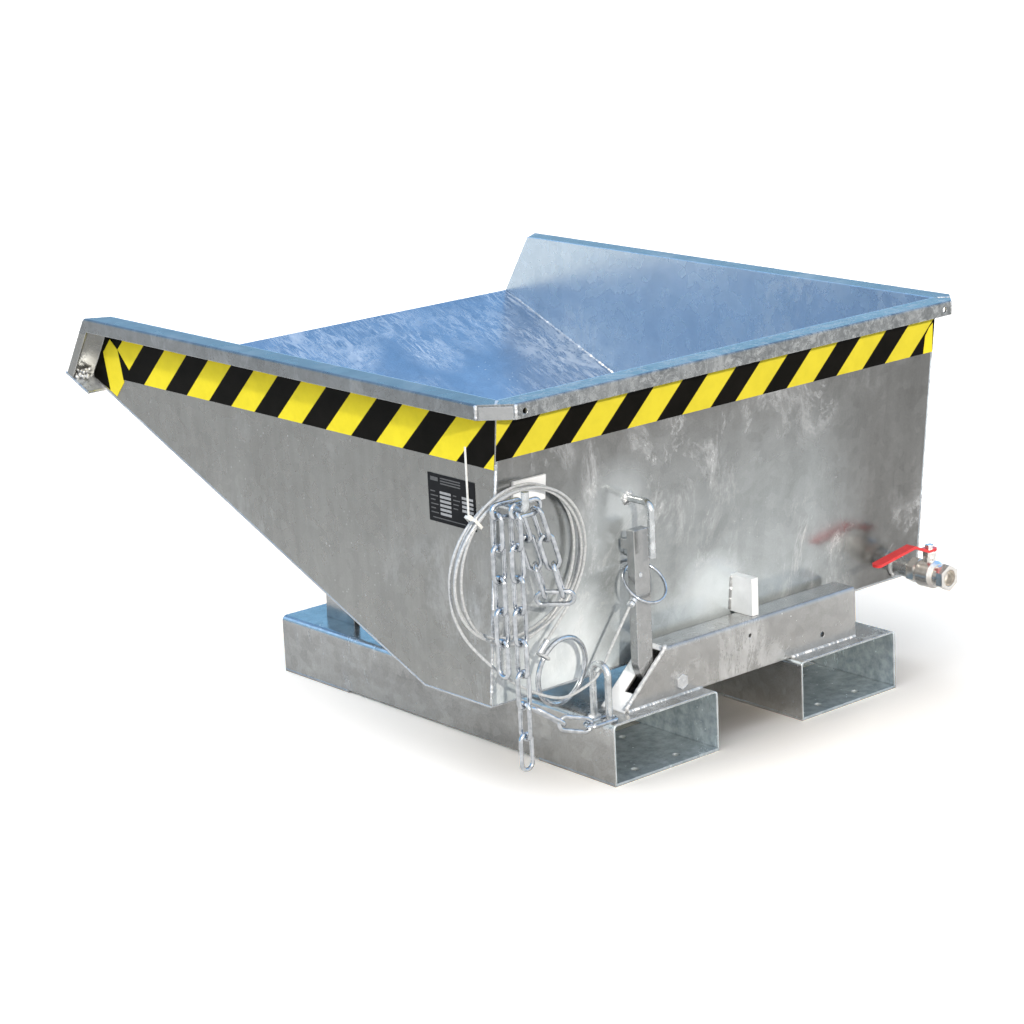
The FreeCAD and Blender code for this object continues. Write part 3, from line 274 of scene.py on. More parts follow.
def incline_face(tree):
    # 1 on the outer face of the channel's inclined end plate
    parts = apart_of(tree)
    out = plus(tree, times(tree, parts["X"], incline_normal_x), times(tree, parts["Z"], incline_normal_z))
    return rising(tree, out, incline_reach - face_blur, incline_reach)


def rim_face(tree):
    # 1 on the folded rim, above the walls
    rim_low = rim_under - sheet
    return rising(tree, apart_of(tree)["Z"], rim_low - sheet, rim_low)


def pocket_inside(tree):
    # 1 inside a fork pocket, and 1 on its strap
    parts = apart_of(tree)
    across = minus(tree, sums(tree, "ABSOLUTE", parts["X"], 0.0), pocket_offset)
    inner = pocket_half - 0.5 * sheet
    room = times(tree, between(tree, across, -inner, inner, 0.001),
                 between(tree, parts["Z"], 0.001, pocket_top - 0.0022, 0.0008))
    return room, below(tree, parts["Z"], 0.004, 0.002)


# Finishes
scuff_white = (0.66, 0.67, 0.68)
frost_white = (0.37, 0.385, 0.39)
# Pale edge colour: partly wear, partly painted edge highlight
edge_wear_and_highlight = (0.80, 0.81, 0.82)
tone_low = 0.34
tone_high = 0.66


def galvanised(name, dark, light, rough, scuff=0.5, streak=(30, 30, 2.2), spangle=70.0, seed=0.0, spots=(),
               lights_and_shades=(), lower_glow=None, inside=None, rim=0.0, pocket=False, incline=False, brushed=False,
               metallic=0.82, specked=0.5):
    # Hot-dip zinc: spangle, cloudy tone, runs along one way, white scuffs, specks, and bright edges that
    # are partly wear and partly painted highlight; options paint light and shade by place
    material, tree, shader = new_material(name)
    place = coordinates(tree, moved=(seed, seed * 0.7, seed * 1.3))
    facets = add(tree, "ShaderNodeSeparateColor")
    join(tree, cells(tree, place, spangle)["Color"], facets.inputs["Color"])
    clouds = noise(tree, place, 5.0, 6.0, 0.62, 0.5)
    fine = noise(tree, place, 420.0, 3.0, 0.7)
    run = noise(tree, coordinates(tree, scale=streak, moved=(seed, seed, seed)), 1.0, 5.0, 0.62)
    tone = plus(tree, times(tree, clouds, 0.36), times(tree, run, 0.30))
    tone = plus(tree, tone, times(tree, facets.outputs["Red"], 0.08))
    tone = plus(tree, tone, times(tree, fine, 0.26))

    def toned(low, high):
        return ramp(tree, tone, [(tone_low, low), (tone_high, high)])

    colour = toned(dark, light)
    if lower_glow:
        # painted light: paler towards the bottom, as far as a place to the right, and duller where asked
        glow_dark, glow_light, matt, right_end = lower_glow
        glow_share = times(tree, rising(tree, apart_of(tree)["Z"], 0.46, floor_level + 0.001),
                      ramp(tree, clouds, [(0.3, 0.6), (0.7, 1.0)]))
        glow_share = times(tree, glow_share, below(tree, apart_of(tree)["X"], right_end, 0.12))
        colour = blend_colours(tree, glow_share, colour, toned(glow_dark, glow_light))
        metallic = minus(tree, metallic, times(tree, glow_share, matt))
    # Patches of painted reflection and painted shade
    for centre, reach, share, painted_tone, matt in lights_and_shades:
        here = times(tree, region(tree, centre, reach), share)
        colour = blend_colours(tree, here, colour, painted_tone)
        metallic = minus(tree, metallic, times(tree, here, matt))
    if inside:
        # Faces that look into the skip are painted paler and bluish: painted sky reflection
        inner = inner_face(tree, inside)
        colour = blend_colours(tree, inner, colour, toned((0.46, 0.55, 0.63), (0.60, 0.69, 0.77)))

    # Scuffs: white smears in patches and at chosen spots
    smear_place = coordinates(tree, scale=(11, 11, 6), moved=(seed * 2, 1.7, seed))
    smear = noise(tree, smear_place, 1.0, 12.0, 0.80, 0.5)
    patch = noise(tree, coordinates(tree, moved=(3.1 + seed, 0, seed)), 3.4, 3.0, 0.5)
    where = ramp(tree, patch, [(0.50, 0.0), (0.66, 1.0)])
    for centre, reach, amount in spots:
        where = most(tree, where, times(tree, region(tree, centre, reach), amount))
    white = scuff_white
    if rim:
        frost = rim_face(tree)
        if inside:
            frost = minus(tree, frost, times(tree, frost, inner))
        where = most(tree, where, frost)
        white = blend_colours(tree, frost, scuff_white, frost_white)
        colour = blend_colours(tree, frost, colour, toned((0.145, 0.153, 0.157), (0.21, 0.22, 0.225)))
    scuffs = times(tree, ramp(tree, smear, [(0.50, 0.0), (0.64, 1.0)]), where)
    if brushed:
        stroke_place = coordinates(tree, scale=(90, 22, 22), moved=(seed, 0, 0))
        strokes = noise(tree, stroke_place, 1.0, 9.0, 0.78, 1.1)
        stroked = times(tree, ramp(tree, strokes, [(0.46, 0.0), (0.64, 1.0)]), where)
        scuffs = most(tree, scuffs, stroked)
    if rim:
        mottle = ramp(tree, noise(tree, place, 75.0, 9.0, 0.75, 0.6), [(0.44, 0.0), (0.62, 1.0)])
        scuffs = most(tree, scuffs, times(tree, times(tree, mottle, frost), rim))
    speck = times(tree, ramp(tree, cells(tree, place, 95.0)["Distance"], [(0.04, 1.0), (0.15, 0.0)]),
                  ramp(tree, noise(tree, place, 11.0, 4.0, 0.7), [(0.50, 0.0), (0.62, 1.0)]))
    scuffs = plus(tree, times(tree, scuffs, scuff), times(tree, speck, specked))
    scuffs = sums(tree, "MINIMUM", scuffs, 1.0)
    colour = blend_colours(tree, scuffs, colour, white)
    metal = minus(tree, metallic, times(tree, scuffs, 0.45))

    if pocket:
        room, strap_shade = pocket_inside(tree)
        # Inside a pocket: frosted speckle, painted pale and bluish as painted sky light, and the strap
        # darkened as painted shade
        frost_and_sky_light = ramp(tree, noise(tree, place, 70.0, 7.0, 0.66),
                       [(0.36, (0.46, 0.54, 0.58)), (0.64, (0.82, 0.91, 0.95))])
        frost_and_sky_light = blend_colours(tree, times(tree, strap_shade, 0.40), frost_and_sky_light, (0.12, 0.15, 0.165))
        colour = blend_colours(tree, room, colour, frost_and_sky_light)
        metal = minus(tree, metal, times(tree, room, 0.25))
    if incline:
        # The inclined plate is painted near white and dull: painted light
        painted_bright_incline = incline_face(tree)
        colour = blend_colours(tree, painted_bright_incline, colour, (0.92, 0.93, 0.94))
        metal = minus(tree, metal, times(tree, painted_bright_incline, 0.62))
    # Edges blended towards pale: partly wear, partly painted edge highlight
    edge, normal = edge_share(tree, 0.0022)
    edge = times(tree, edge, ramp(tree, noise(tree, place, 55.0, 4.0, 0.6), [(0.30, 0.2), (0.62, 0.85)]))
    join(tree, blend_colours(tree, edge, colour, edge_wear_and_highlight), shader.inputs["Base Color"])
    join(tree, metal, shader.inputs["Metallic"])
    grain = plus(tree, times(tree, facets.outputs["Green"], 0.06), times(tree, clouds, 0.14))
    grain = plus(tree, grain, times(tree, scuffs, 0.2))
    join(tree, plus(tree, grain, rough - 0.10), shader.inputs["Roughness"])
    height = plus(tree, times(tree, clouds, 0.8), times(tree, fine, 0.16))
    join(tree, bump(tree, height, 0.15, 0.003, normal), shader.inputs["Normal"])
    return material


def plain_metal(name, dark, light, rough, scale=120.0, metallic=1.0, grain=0.08):
    # Plated small metal: a little tone and grain
    material, tree, shader = new_material(name)
    place = coordinates(tree)
    cloud = noise(tree, place, scale, 4.0, 0.6)
    colour = ramp(tree, cloud, [(0.32, dark), (0.68, light)])
    edge, normal = edge_share(tree, 0.0012)
    # Edges lightened: painted edge highlight
    colour = blend_colours(tree, times(tree, edge, 0.5), colour, (0.9, 0.9, 0.9))
    join(tree, colour, shader.inputs["Base Color"])
    shader.inputs["Metallic"].default_value = metallic
    join(tree, plus(tree, times(tree, cloud, 0.2), rough - 0.1), shader.inputs["Roughness"])
    grit = noise(tree, place, scale * 4, 3.0)
    join(tree, bump(tree, grit, grain, 0.001, normal), shader.inputs["Normal"])
    return material


def hazard_stripes(name, along, slope, origin, period, yellow_share, yellow):
    # Slanting yellow and black stripes; along names the level axis, origin a place where yellow begins
    material, tree, shader = new_material(name)
    parts = apart_of(tree)
    shift = plus(tree, parts[along], times(tree, parts["Z"], slope))
    share = sums(tree, "FRACT", times(tree, minus(tree, shift, origin), 1 / period), 0.0)
    stops = [(0.0, 1.0), (0.008, 0.0), (yellow_share - 0.004, 0.0), (yellow_share + 0.004, 1.0)]
    black = ramp(tree, share, stops)
    dirt = noise(tree, coordinates(tree), 35.0, 6.0, 0.65)
    dirty_yellow = tuple(part * 0.90 for part in yellow)
    stripe = ramp(tree, dirt, [(0.30, dirty_yellow), (0.62, yellow)])
    ink = ramp(tree, dirt, [(0.30, (0.003, 0.003, 0.002)), (0.70, (0.007, 0.006, 0.005))])
    join(tree, blend_colours(tree, black, stripe, ink), shader.inputs["Base Color"])
    shader.inputs["Roughness"].default_value = 0.42
    shader.inputs["Specular IOR Level"].default_value = 0.03
    creases = noise(tree, coordinates(tree, scale=(3, 3, 9)), 6.0, 5.0, 0.6)
    join(tree, bump(tree, creases, 0.12, 0.002), shader.inputs["Normal"])
    return material


def paint(name, dark, light, rough, scale=60.0, grain=0.06, coat=0.0, gloss=0.5):
    # Plastic, film or paint, with a little tone and grain
    material, tree, shader = new_material(name)
    place = coordinates(tree)
    cloud = noise(tree, place, scale, 5.0, 0.6)
    join(tree, ramp(tree, cloud, [(0.32, dark), (0.68, light)]), shader.inputs["Base Color"])
    join(tree, plus(tree, times(tree, cloud, 0.16), rough - 0.08), shader.inputs["Roughness"])
    join(tree, bump(tree, noise(tree, place, scale * 6, 3.0), grain, 0.001), shader.inputs["Normal"])
    shader.inputs["Coat Weight"].default_value = coat
    shader.inputs["Specular IOR Level"].default_value = gloss
    return material


def wall_spot(x, z, wide, high, amount):
    return (x, wall_y(z), z), (wide, 0.1, high), amount


def wall_light_and_shade(x, z, wide, high, share, painted_tone, matt):
    return (x, wall_y(z), z), (wide, 0.2, high), share, painted_tone, matt


# Where the zinc is scuffed white: centre, reach and amount. Patches of painted reflection, brighter and
# duller, and of painted shade, darker, on the rear wall: centre, reach, share, tone and dullness
wall_spots = [wall_spot(-0.245, 0.41, 0.020, 0.08, 1.0), wall_spot(-0.187, 0.36, 0.035, 0.04, 1.0),
              wall_spot(0.040, 0.43, 0.010, 0.09, 1.0), wall_spot(0.190, 0.44, 0.05, 0.06, 0.9),
              wall_spot(-0.33, 0.44, 0.07, 0.04, 0.9), wall_spot(-0.235, 0.27, 0.03, 0.05, 0.7),
              wall_spot(0.10, 0.22, 0.09, 0.04, 0.8), wall_spot(-0.02, 0.25, 0.06, 0.05, 0.7)]
# Painted shade at the upper right; painted reflections low on the left, by the keeper and low in the middle
wall_lights_and_shades = [wall_light_and_shade(0.32, 0.44, 0.30, 0.18, 0.18, (0.03, 0.03, 0.03), 0.0),
              wall_light_and_shade(-0.28, 0.17, 0.10, 0.11, 0.60, (0.90, 0.95, 0.98), 0.35),
              wall_light_and_shade(-0.20, 0.33, 0.07, 0.10, 0.32, (0.80, 0.86, 0.89), 0.3),
              wall_light_and_shade(-0.02, 0.20, 0.07, 0.06, 0.45, (0.88, 0.94, 0.98), 0.3)]
channel_spots = [((0.0, -0.465, 0.13), (0.05, 0.1, 0.04), 1.0),
                 ((-0.12, -0.465, 0.13), (0.06, 0.1, 0.05), 0.7),
                 ((0.03, -0.465, 0.10), (0.10, 0.1, 0.03), 0.7)]
# Pale patches on the pocket tops behind the wall: painted reflected light, drawn with the scuff smears
base_lit_spots = [((-0.24, -0.46, 0.088), (0.15, 0.09, 0.025), 1.0),
              ((0.20, -0.47, 0.088), (0.12, 0.07, 0.025), 0.8)]
ramp_spots = [((0.15, 0.385, 0.40), (0.06, 0.08, 0.1), 1.0), ((0.35, 0.31, 0.37), (0.07, 0.14, 0.1), 1.0),
              ((0.12, 0.47, 0.43), (0.13, 0.06, 0.1), 0.7), ((0.28, 0.42, 0.42), (0.15, 0.10, 0.1), 0.6),
              ((0.0, -0.33, 0.13), (0.45, 0.12, 0.1), 0.7), ((-0.2, 0.1, 0.28), (0.2, 0.2, 0.2), 0.5)]

side_dark = (0.195, 0.195, 0.185)
side_light = (0.285, 0.285, 0.273)
# Painted light low on the sheets: paler dark and light tones, how much duller, and how far right it reaches
side_lower_glow = ((0.26, 0.26, 0.25), (0.37, 0.37, 0.355), 0.0, 1.0)
rear_lower_glow = ((0.50, 0.55, 0.57), (0.75, 0.82, 0.85), 0.42, 0.17)
ramp_lower_glow = ((0.48, 0.50, 0.515), (0.68, 0.70, 0.715), 0.0, 1.0)
sheet_left = galvanised("galvanised_left_sheet", side_dark, side_light, rough=0.28, streak=(44, 44, 2.5),
                        lower_glow=side_lower_glow, inside="side", rim=0.3)
sheet_right = galvanised("galvanised_right_sheet", side_dark, side_light, rough=0.26, scuff=0.8,
                         streak=(26, 26, 2.0), seed=7.0, lower_glow=side_lower_glow, inside="side", rim=0.3)
# The rear sheet's tones are darker than the side sheets' because it takes more sun: painted shade
sheet_rear = galvanised("galvanised_rear_sheet", (0.145, 0.145, 0.140), (0.265, 0.265, 0.260), rough=0.17,
                        scuff=0.85, streak=(26, 26, 2.0), seed=4.0, spots=wall_spots, lights_and_shades=wall_lights_and_shades,
                        lower_glow=rear_lower_glow, inside="rear", rim=1.0, specked=0.25)
sheet_floor = galvanised("galvanised_floor_sheet", (0.27, 0.30, 0.33), (0.43, 0.46, 0.49), rough=0.22,
                         scuff=1.0, streak=(16, 2.5, 2.5), seed=9.0, spots=ramp_spots, lower_glow=ramp_lower_glow,
                         brushed=True, metallic=0.9)
sheet_base = galvanised("galvanised_base", (0.27, 0.27, 0.265), (0.60, 0.60, 0.585), rough=0.22, scuff=1.0,
                        streak=(20, 3, 20), seed=12.0, spots=base_lit_spots, pocket=True, metallic=0.80,
                        specked=0.7)
sheet_channel = galvanised("galvanised_channel", (0.29, 0.29, 0.285), (0.50, 0.50, 0.495), rough=0.24,
                           scuff=0.9, streak=(4, 20, 20), seed=15.0, spots=channel_spots, incline=True,
                           metallic=0.72)
bar_zinc = galvanised("galvanised_bar", (0.30, 0.305, 0.305), (0.46, 0.465, 0.465), rough=0.24, scuff=0.6,
                      streak=(30, 30, 6), spangle=160.0, seed=18.0, metallic=0.8)
rod_zinc = plain_metal("galvanised_rod", (0.42, 0.44, 0.45), (0.74, 0.76, 0.77), 0.26, 90.0, 0.9)
chain_zinc = plain_metal("chain_zinc", (0.40, 0.42, 0.44), (0.72, 0.74, 0.77), 0.12, 110.0, 1.0, 0.03)
bolt_zinc = plain_metal("bolt_zinc", (0.56, 0.58, 0.60), (0.82, 0.84, 0.86), 0.24, 160.0, 0.9)
# Pale, dull zinc for the lug and wall plate: painted light for their sunlit faces
zinc_painted_bright = plain_metal("zinc_plate_painted_bright", (0.82, 0.83, 0.84), (0.93, 0.94, 0.95), 0.50, 40.0, 0.30)
weld_zinc = plain_metal("zinc_over_weld", (0.46, 0.47, 0.48), (0.78, 0.79, 0.80), 0.42, 140.0, 0.5)
valve_nickel = plain_metal("valve_nickel", (0.74, 0.71, 0.67), (0.92, 0.89, 0.85), 0.18, 140.0, 0.88, 0.05)
bronze = plain_metal("bronze", (0.40, 0.27, 0.12), (0.56, 0.40, 0.20), 0.4, 120.0)
red_sleeve = paint("red_vinyl_sleeve", (0.60, 0.018, 0.020), (0.74, 0.032, 0.032), 0.34, 90.0, 0.08,
                   coat=0.3)
nylon = paint("natural_nylon", (0.66, 0.65, 0.61), (0.78, 0.77, 0.73), 0.40, 200.0)
seat_white = paint("seat_white", (0.80, 0.80, 0.78), (0.86, 0.86, 0.84), 0.5, 120.0)
plate_black = paint("plate_black", (0.006, 0.006, 0.007), (0.011, 0.011, 0.012), 0.55, 90.0, gloss=0.12)
field_white = paint("plate_field", (0.26, 0.26, 0.26), (0.36, 0.36, 0.36), 0.5, 300.0)
field_grey = paint("plate_line", (0.060, 0.060, 0.060), (0.10, 0.10, 0.10), 0.5, 400.0)
cable_coat = paint("clear_coated_cable", (0.36, 0.37, 0.375), (0.56, 0.57, 0.575), 0.22, 300.0, 0.10,
                   coat=0.5)
side_yellow = (0.84, 0.69, 0.034)
# The rear tape's yellow is darker than the side tape's because the rear wall takes more sun: painted shade
rear_yellow_painted_darker = (0.66, 0.56, 0.040)
tape_side = hazard_stripes("hazard_tape_side", "Y", 1.03, 0.0961, 0.1098, 0.508, side_yellow)
tape_rear = hazard_stripes("hazard_tape_rear", "X", -0.933, -0.8085, 0.0982, 0.53, rear_yellow_painted_darker)
film_yellow = paint("tape_film_yellow", (0.76, 0.62, 0.030), side_yellow, 0.42, 35.0, 0.05, gloss=0.06)
film_black = paint("tape_film_black", (0.003, 0.003, 0.002), (0.007, 0.006, 0.005), 0.42, 35.0, 0.05,
                   gloss=0.03)

# The base's sheet is the finish of every node that is not named here.
finish_of = {
    "left_side_sheet": sheet_left,
    "right_side_sheet": sheet_right,
    "rear_sheet": sheet_rear,
    "floor_sheet": sheet_floor,
    "rim_corner_left": bar_zinc,
    "rim_corner_right": bar_zinc,
    "cross_channel": sheet_channel,
    "lock_lever": bar_zinc,
    "rest_lug": zinc_painted_bright,
    "wall_plate": zinc_painted_bright,
    "hanger_hook": rod_zinc,
    "lever_keeper": rod_zinc,
    "cable_guide_loop": rod_zinc,
    "catch_pin": rod_zinc,
    "chain_bundle": chain_zinc,
    "chain_free_end": chain_zinc,
    "chain_tail": chain_zinc,
    "release_ring": chain_zinc,
    "pull_ring": chain_zinc,
    "ring_pin": bolt_zinc,
    "lever_pivot_bolt": bolt_zinc,
    "lever_pivot_nut": bolt_zinc,
    "lever_spacers": bolt_zinc,
    "cable_clamps": bolt_zinc,
    "cable_ferrule": bolt_zinc,
    "cable_eye": cable_coat,
    "cable_tie": nylon,
    "tipping_axle": bolt_zinc,
    "axle_washers": bolt_zinc,
    "axle_split_pins": bolt_zinc,
    "hinge_bush_left": bronze,
    "hinge_bush_right": bronze,
    "drain_nipple": rod_zinc,
    "valve_body": valve_nickel,
    "valve_outlet": valve_nickel,
    "packing_nut": valve_nickel,
    "valve_stem": valve_nickel,
    "valve_ball": valve_nickel,
    "handle_nut": bolt_zinc,
    "valve_seats": seat_white,
    "valve_handle": red_sleeve,
    "hazard_tape_left": tape_side,
    "hazard_tape_right": tape_side,
    "hazard_tape_rear": tape_rear,
    "name_plate": plate_black,
}
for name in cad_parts:
    piece = bpy.data.objects[name]
    finish = finish_of.get(name, sheet_base)
    if not piece.material_slots:
        piece.data.materials.append(finish)
    for slot in piece.material_slots:
        slot.material = finish


# Weld beads and zinc drops
def along(points, step):
    # Even stops along a line of points, each with its direction
    stops = []
    for a, b in zip(points[:-1], points[1:]):
        a = Vector(a)
        b = Vector(b)
        count = max(2, int((b - a).length / step))
        for k in range(count):
            stops.append((a.lerp(b, k / count), (b - a).normalized()))
    stops.append((Vector(points[-1]), stops[-1][1]))
    return stops


def bead_into(shape, points, radius, facing, flat=0.6, ripple=0.12):
    # A rippled bead: one flattened ring extruded from stop to stop along the line
    facing = Vector(facing).normalized()
    stops = along(points, radius * 0.7)
    bead = bmesh.new()
    verts = bmesh.ops.create_circle(bead, cap_ends=True, segments=8, radius=1)["verts"]
    face = verts[0].link_faces[0]
    before = Matrix.Identity(4)
    for k, (place, way) in enumerate(stops):
        side = way.cross(facing).normalized()
        out = side.cross(way).normalized()
        wide = radius * (1 + ripple * math.sin(k * 1.3) + ripple * math.sin(k * 0.37 + 1.3))
        if k in (0, len(stops) - 1):
            wide *= 0.55
        ring = Matrix((side * wide, out * wide * flat, way)).transposed().to_4x4()
        ring.translation = place
        if k:
            grown = bmesh.ops.extrude_face_region(bead, geom=[face])
            face = [part for part in grown["geom"] if isinstance(part, bmesh.types.BMFace)][0]
            verts = list(face.verts)
        bmesh.ops.transform(bead, matrix=ring @ before.inverted(), verts=verts)
        before = ring
    laid = bpy.data.meshes.new("bead")
    bead.to_mesh(laid)
    bead.free()
    shape.from_mesh(laid)
    bpy.data.meshes.remove(laid)


def ring_into(shape, centre, radius, axis, wire):
    # A bead that runs round a rod's root
    axis = Vector(axis).normalized()
    side = axis.orthogonal().normalized()
    other = axis.cross(side)
    centre = Vector(centre)
    count = 20
    points = []
    for k in range(count + 1):
        angle = math.tau * k / count
        points.append(centre + side * radius * math.cos(angle) + other * radius * math.sin(angle))
    bead_into(shape, points, wire, axis, 0.8, 0.18)


def drop_into(shape, place, size, seed):
    made = bmesh.ops.create_icosphere(shape, subdivisions=2, radius=size)
    for vert in made["verts"]:
        swell = 1 + 0.22 * math.sin(vert.co.x * 900 + seed) * math.cos(vert.co.z * 700 + seed * 2)
        vert.co = Vector((vert.co.x * swell, vert.co.y * swell * 0.8, vert.co.z * swell)) + Vector(place)


def closed(shape):
    bmesh.ops.recalc_face_normals(shape, faces=shape.faces[:])
    return shape


# Pieces
def finished(shape, name, body, material, smooth=True):
    mesh = bpy.data.meshes.new(name)
    shape.to_mesh(mesh)
    shape.free()
    mesh.materials.append(material)
    for face in mesh.polygons:
        face.use_smooth = smooth
    piece = bpy.data.objects.new(name, mesh)
    scene.collection.objects.link(piece)
    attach(piece, body)
    return piece


def route_curve(name, points):
    curve = bpy.data.curves.new(name, "CURVE")
    curve.dimensions = "3D"
    spline = curve.splines.new("NURBS")
    spline.points.add(len(points) - 1)
    for point, place in zip(spline.points, points):
        point.co = (*place, 1)
    spline.order_u = 3
    spline.use_endpoint_u = True
    spline.resolution_u = 10
    return curve


def cable_tube(name, points, radius):
    # A mesh tube along the route's spline, and the points that it follows
    curve = route_curve(name, points)
    bare = bpy.data.objects.new(name + "_line", curve)
    line = bpy.data.meshes.new_from_object(bare)
    path = [v.co.copy() for v in line.vertices]
    curve.bevel_depth = radius
    curve.bevel_resolution = 3
    curve.use_fill_caps = True
    mesh = bpy.data.meshes.new_from_object(bare)
    bpy.data.objects.remove(bare)
    bpy.data.meshes.remove(line)
    mesh.name = name
    mesh.materials.clear()
    mesh.materials.append(cable_coat)
    for face in mesh.polygons:
        face.use_smooth = True
    piece = bpy.data.objects.new(name, mesh)
    scene.collection.objects.link(piece)
    return piece, path


# Pull cable: lead from the release ring, run to the left, coil on the hook and tail to the ferrule
cable_radius = 0.002
hook_x = -0.407
hook_height = 0.405
hook_rod_radius = 0.005
coil_clearance = 0.0007
coil_x = -0.377
coil_half_width = 0.103
coil_half_height = 0.104
coil_spread = 0.008
coil_sag = 0.003
coil_fan = 0.007
coil_layer = 0.0046
coil_standoff = 0.0052
coil_start_angle = 200.0
coil_turn = 1315.0
coil_steps = 74
ferrule_middle = Vector((-0.3444, -0.4436, 0.2016))


def coil_point(turned):
    # A loose turn round the hook that breathes in and out and steps away from the wall
    angle = math.radians(coil_start_angle - turned)
    wave = math.radians(turned)
    wide = coil_half_width + coil_spread * math.sin(0.37 * wave + 0.6)
    high = coil_half_height + coil_sag * math.sin(0.53 * wave + 2.0)
    aside = (hook_x - coil_x) / (coil_half_width - coil_spread)
    top = hook_height + hook_rod_radius + cable_radius + coil_clearance
    top += (coil_half_height + coil_sag) * (1 - math.sqrt(1 - aside ** 2)) + 0.0002
    top += coil_fan * (0.5 - 0.5 * math.cos(0.41 * wave - 0.75))
    x = coil_x + wide * math.cos(angle)
    z = top - high + high * math.sin(angle)
    layer = coil_standoff + coil_layer * turned / 360
    return Vector((x, wall_y(z) - layer * math.sqrt(1 + wall_slope ** 2), z))


def coil_way(turned):
    return (coil_point(turned + 0.01) - coil_point(turned - 0.01)).normalized()


lead_route = [(-0.213, -0.466, 0.229), (-0.230, -0.464, 0.203), (-0.246, -0.461, 0.176),
              (-0.258, -0.458, 0.153), (-0.272, -0.456, 0.139), (-0.291, -0.454, 0.133)]
run_route = [(-0.291, -0.454, 0.133), (-0.3119, -0.4518, 0.1264), (-0.338, -0.450, 0.132),
             (-0.368, -0.448, 0.147), (-0.402, -0.445, 0.169), (-0.436, -0.439, 0.202)]
run_route += [coil_point(0) - coil_way(0) * 0.036, coil_point(0)]
coil_end = coil_point(coil_turn)
coil_end_way = coil_way(coil_turn)
ferrule_way = (coil_end + coil_end_way * 0.010 - ferrule_middle).normalized()
coil_route = [coil_point(coil_turn * k / coil_steps) for k in range(coil_steps + 1)]
coil_route += [coil_end + coil_end_way * 0.009, ferrule_middle + ferrule_way * 0.018, ferrule_middle]
lead, lead_path = cable_tube("pull_cable_lead_soft", lead_route, cable_radius)
run, run_path = cable_tube("pull_cable_run_soft", run_route, cable_radius)
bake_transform(lead)
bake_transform(run)
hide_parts("pull_cable_lead")
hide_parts("pull_cable_run")
coil, coil_path = cable_tube("pull_cable_coil_soft", coil_route, cable_radius)
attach(coil, "skip")
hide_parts("pull_cable_coil", "pull_cable_tail")

# Welds on the skip: corner edges, floor joint, rim corners, keeper, hook, nipple, lug and mouth flange
rear = Vector((0, -1, 0))
corner_weld = (0.131, 0.455)
joint_ends = (-0.402, 0.470)
rim_weld_high = rim_top - 0.0001
rim_weld = (rim_top - 0.0005, rim_under)
rod_root = 0.0058
keeper_root = (-0.179, 0.364)
hook_root = (hook_x, hook_height)
nipple_root = (0.360, 0.147)
lug_edges = ((0.0206, -1), (0.0334, 1))
lug_weld = (0.160, 0.209)
lump_count = 64
lump_turn = 2.399


def wall_point(x, z, out):
    return (x, wall_y(z) - out, z)


def share_of(k, step):
    # Spreads counted things evenly over 0 to 1
    return (k * step) % 1


skip_weld = bmesh.new()
for side in (-1, 1):
    edge = side * (half_width - 0.0004)
    bead_into(skip_weld, [wall_point(edge, z, -0.0004) for z in corner_weld], 0.0016, (side, -1, 0))
    x = side * (half_width - sheet - 0.0005)
    joint = [(x, joint_ends[0], floor_level + 0.0002), (x, ramp_start, floor_level + 0.0002),
             (x, joint_ends[1], floor_top(joint_ends[1]))]
    bead_into(skip_weld, joint, 0.0022, (-side, -0.4, 1), 0.6, 0.30)
    mitre = [(side * 0.408, -0.451, rim_weld_high), (side * 0.4209, -0.4639, rim_weld_high)]
    bead_into(skip_weld, mitre, 0.0020, (0, 0, 1), 0.5)
    bead_into(skip_weld, [(side * 0.4385, -0.4458, z) for z in rim_weld], 0.0022, (side, -0.4, 0))
    bead_into(skip_weld, [(side * 0.4030, -0.4815, z) for z in rim_weld], 0.0022, (side * 0.4, -1, 0))
ring_into(skip_weld, wall_point(*keeper_root, 0.0005), rod_root, rear, 0.0038)
ring_into(skip_weld, wall_point(*hook_root, 0.0005), rod_root, rear, 0.0034)
ring_into(skip_weld, wall_point(*nipple_root, 0.0008), 0.0140, rear, 0.0032)
for x, outward in lug_edges:
    bead_into(skip_weld, [wall_point(x, z, 0.001) for z in lug_weld], 0.0026, (outward, -1, 0))
for k in range(lump_count):
    spread = math.sqrt(share_of(k, 0.37))
    place = (-0.4222 + 0.0115 * math.cos(lump_turn * k) * spread,
             0.4890 + 0.0110 * math.sin(lump_turn * k) * spread,
             0.4430 + 0.012 * share_of(k, 0.61))
    drop_into(skip_weld, place, 0.0016 + 0.0020 * share_of(k, 0.43), k)
finished(closed(skip_weld), "skip_welds", "skip", weld_zinc)

# Welds on the base: channel on the pockets, guide loop's feet and the inclined plate's edge
channel_weld_y = -0.4655
channel_welds = ((-0.222, -0.086), (0.086, 0.214))
loop_x = -0.262
loop_feet = (-0.473, -0.443)
incline_edge = [(-0.227, -0.4645, 0.0885), (-0.1525, -0.4645, 0.1565)]
base_weld = bmesh.new()
for ends in channel_welds:
    seam = [(x, channel_weld_y, pocket_top + 0.0005) for x in ends]
    bead_into(base_weld, seam, 0.0026, (0, -1, 1), 0.6, 0.06)
for y in loop_feet:
    ring_into(base_weld, (loop_x, y, pocket_top + 0.0002), rod_root, (0, 0, 1), 0.0034)
bead_into(base_weld, incline_edge, 0.0030, (-0.6, -1, 0.6), 0.7, 0.08)
drop_into(base_weld, (-0.1515, -0.4635, 0.1570), 0.0048, 3)
finished(closed(base_weld), "base_welds", "base", weld_zinc)


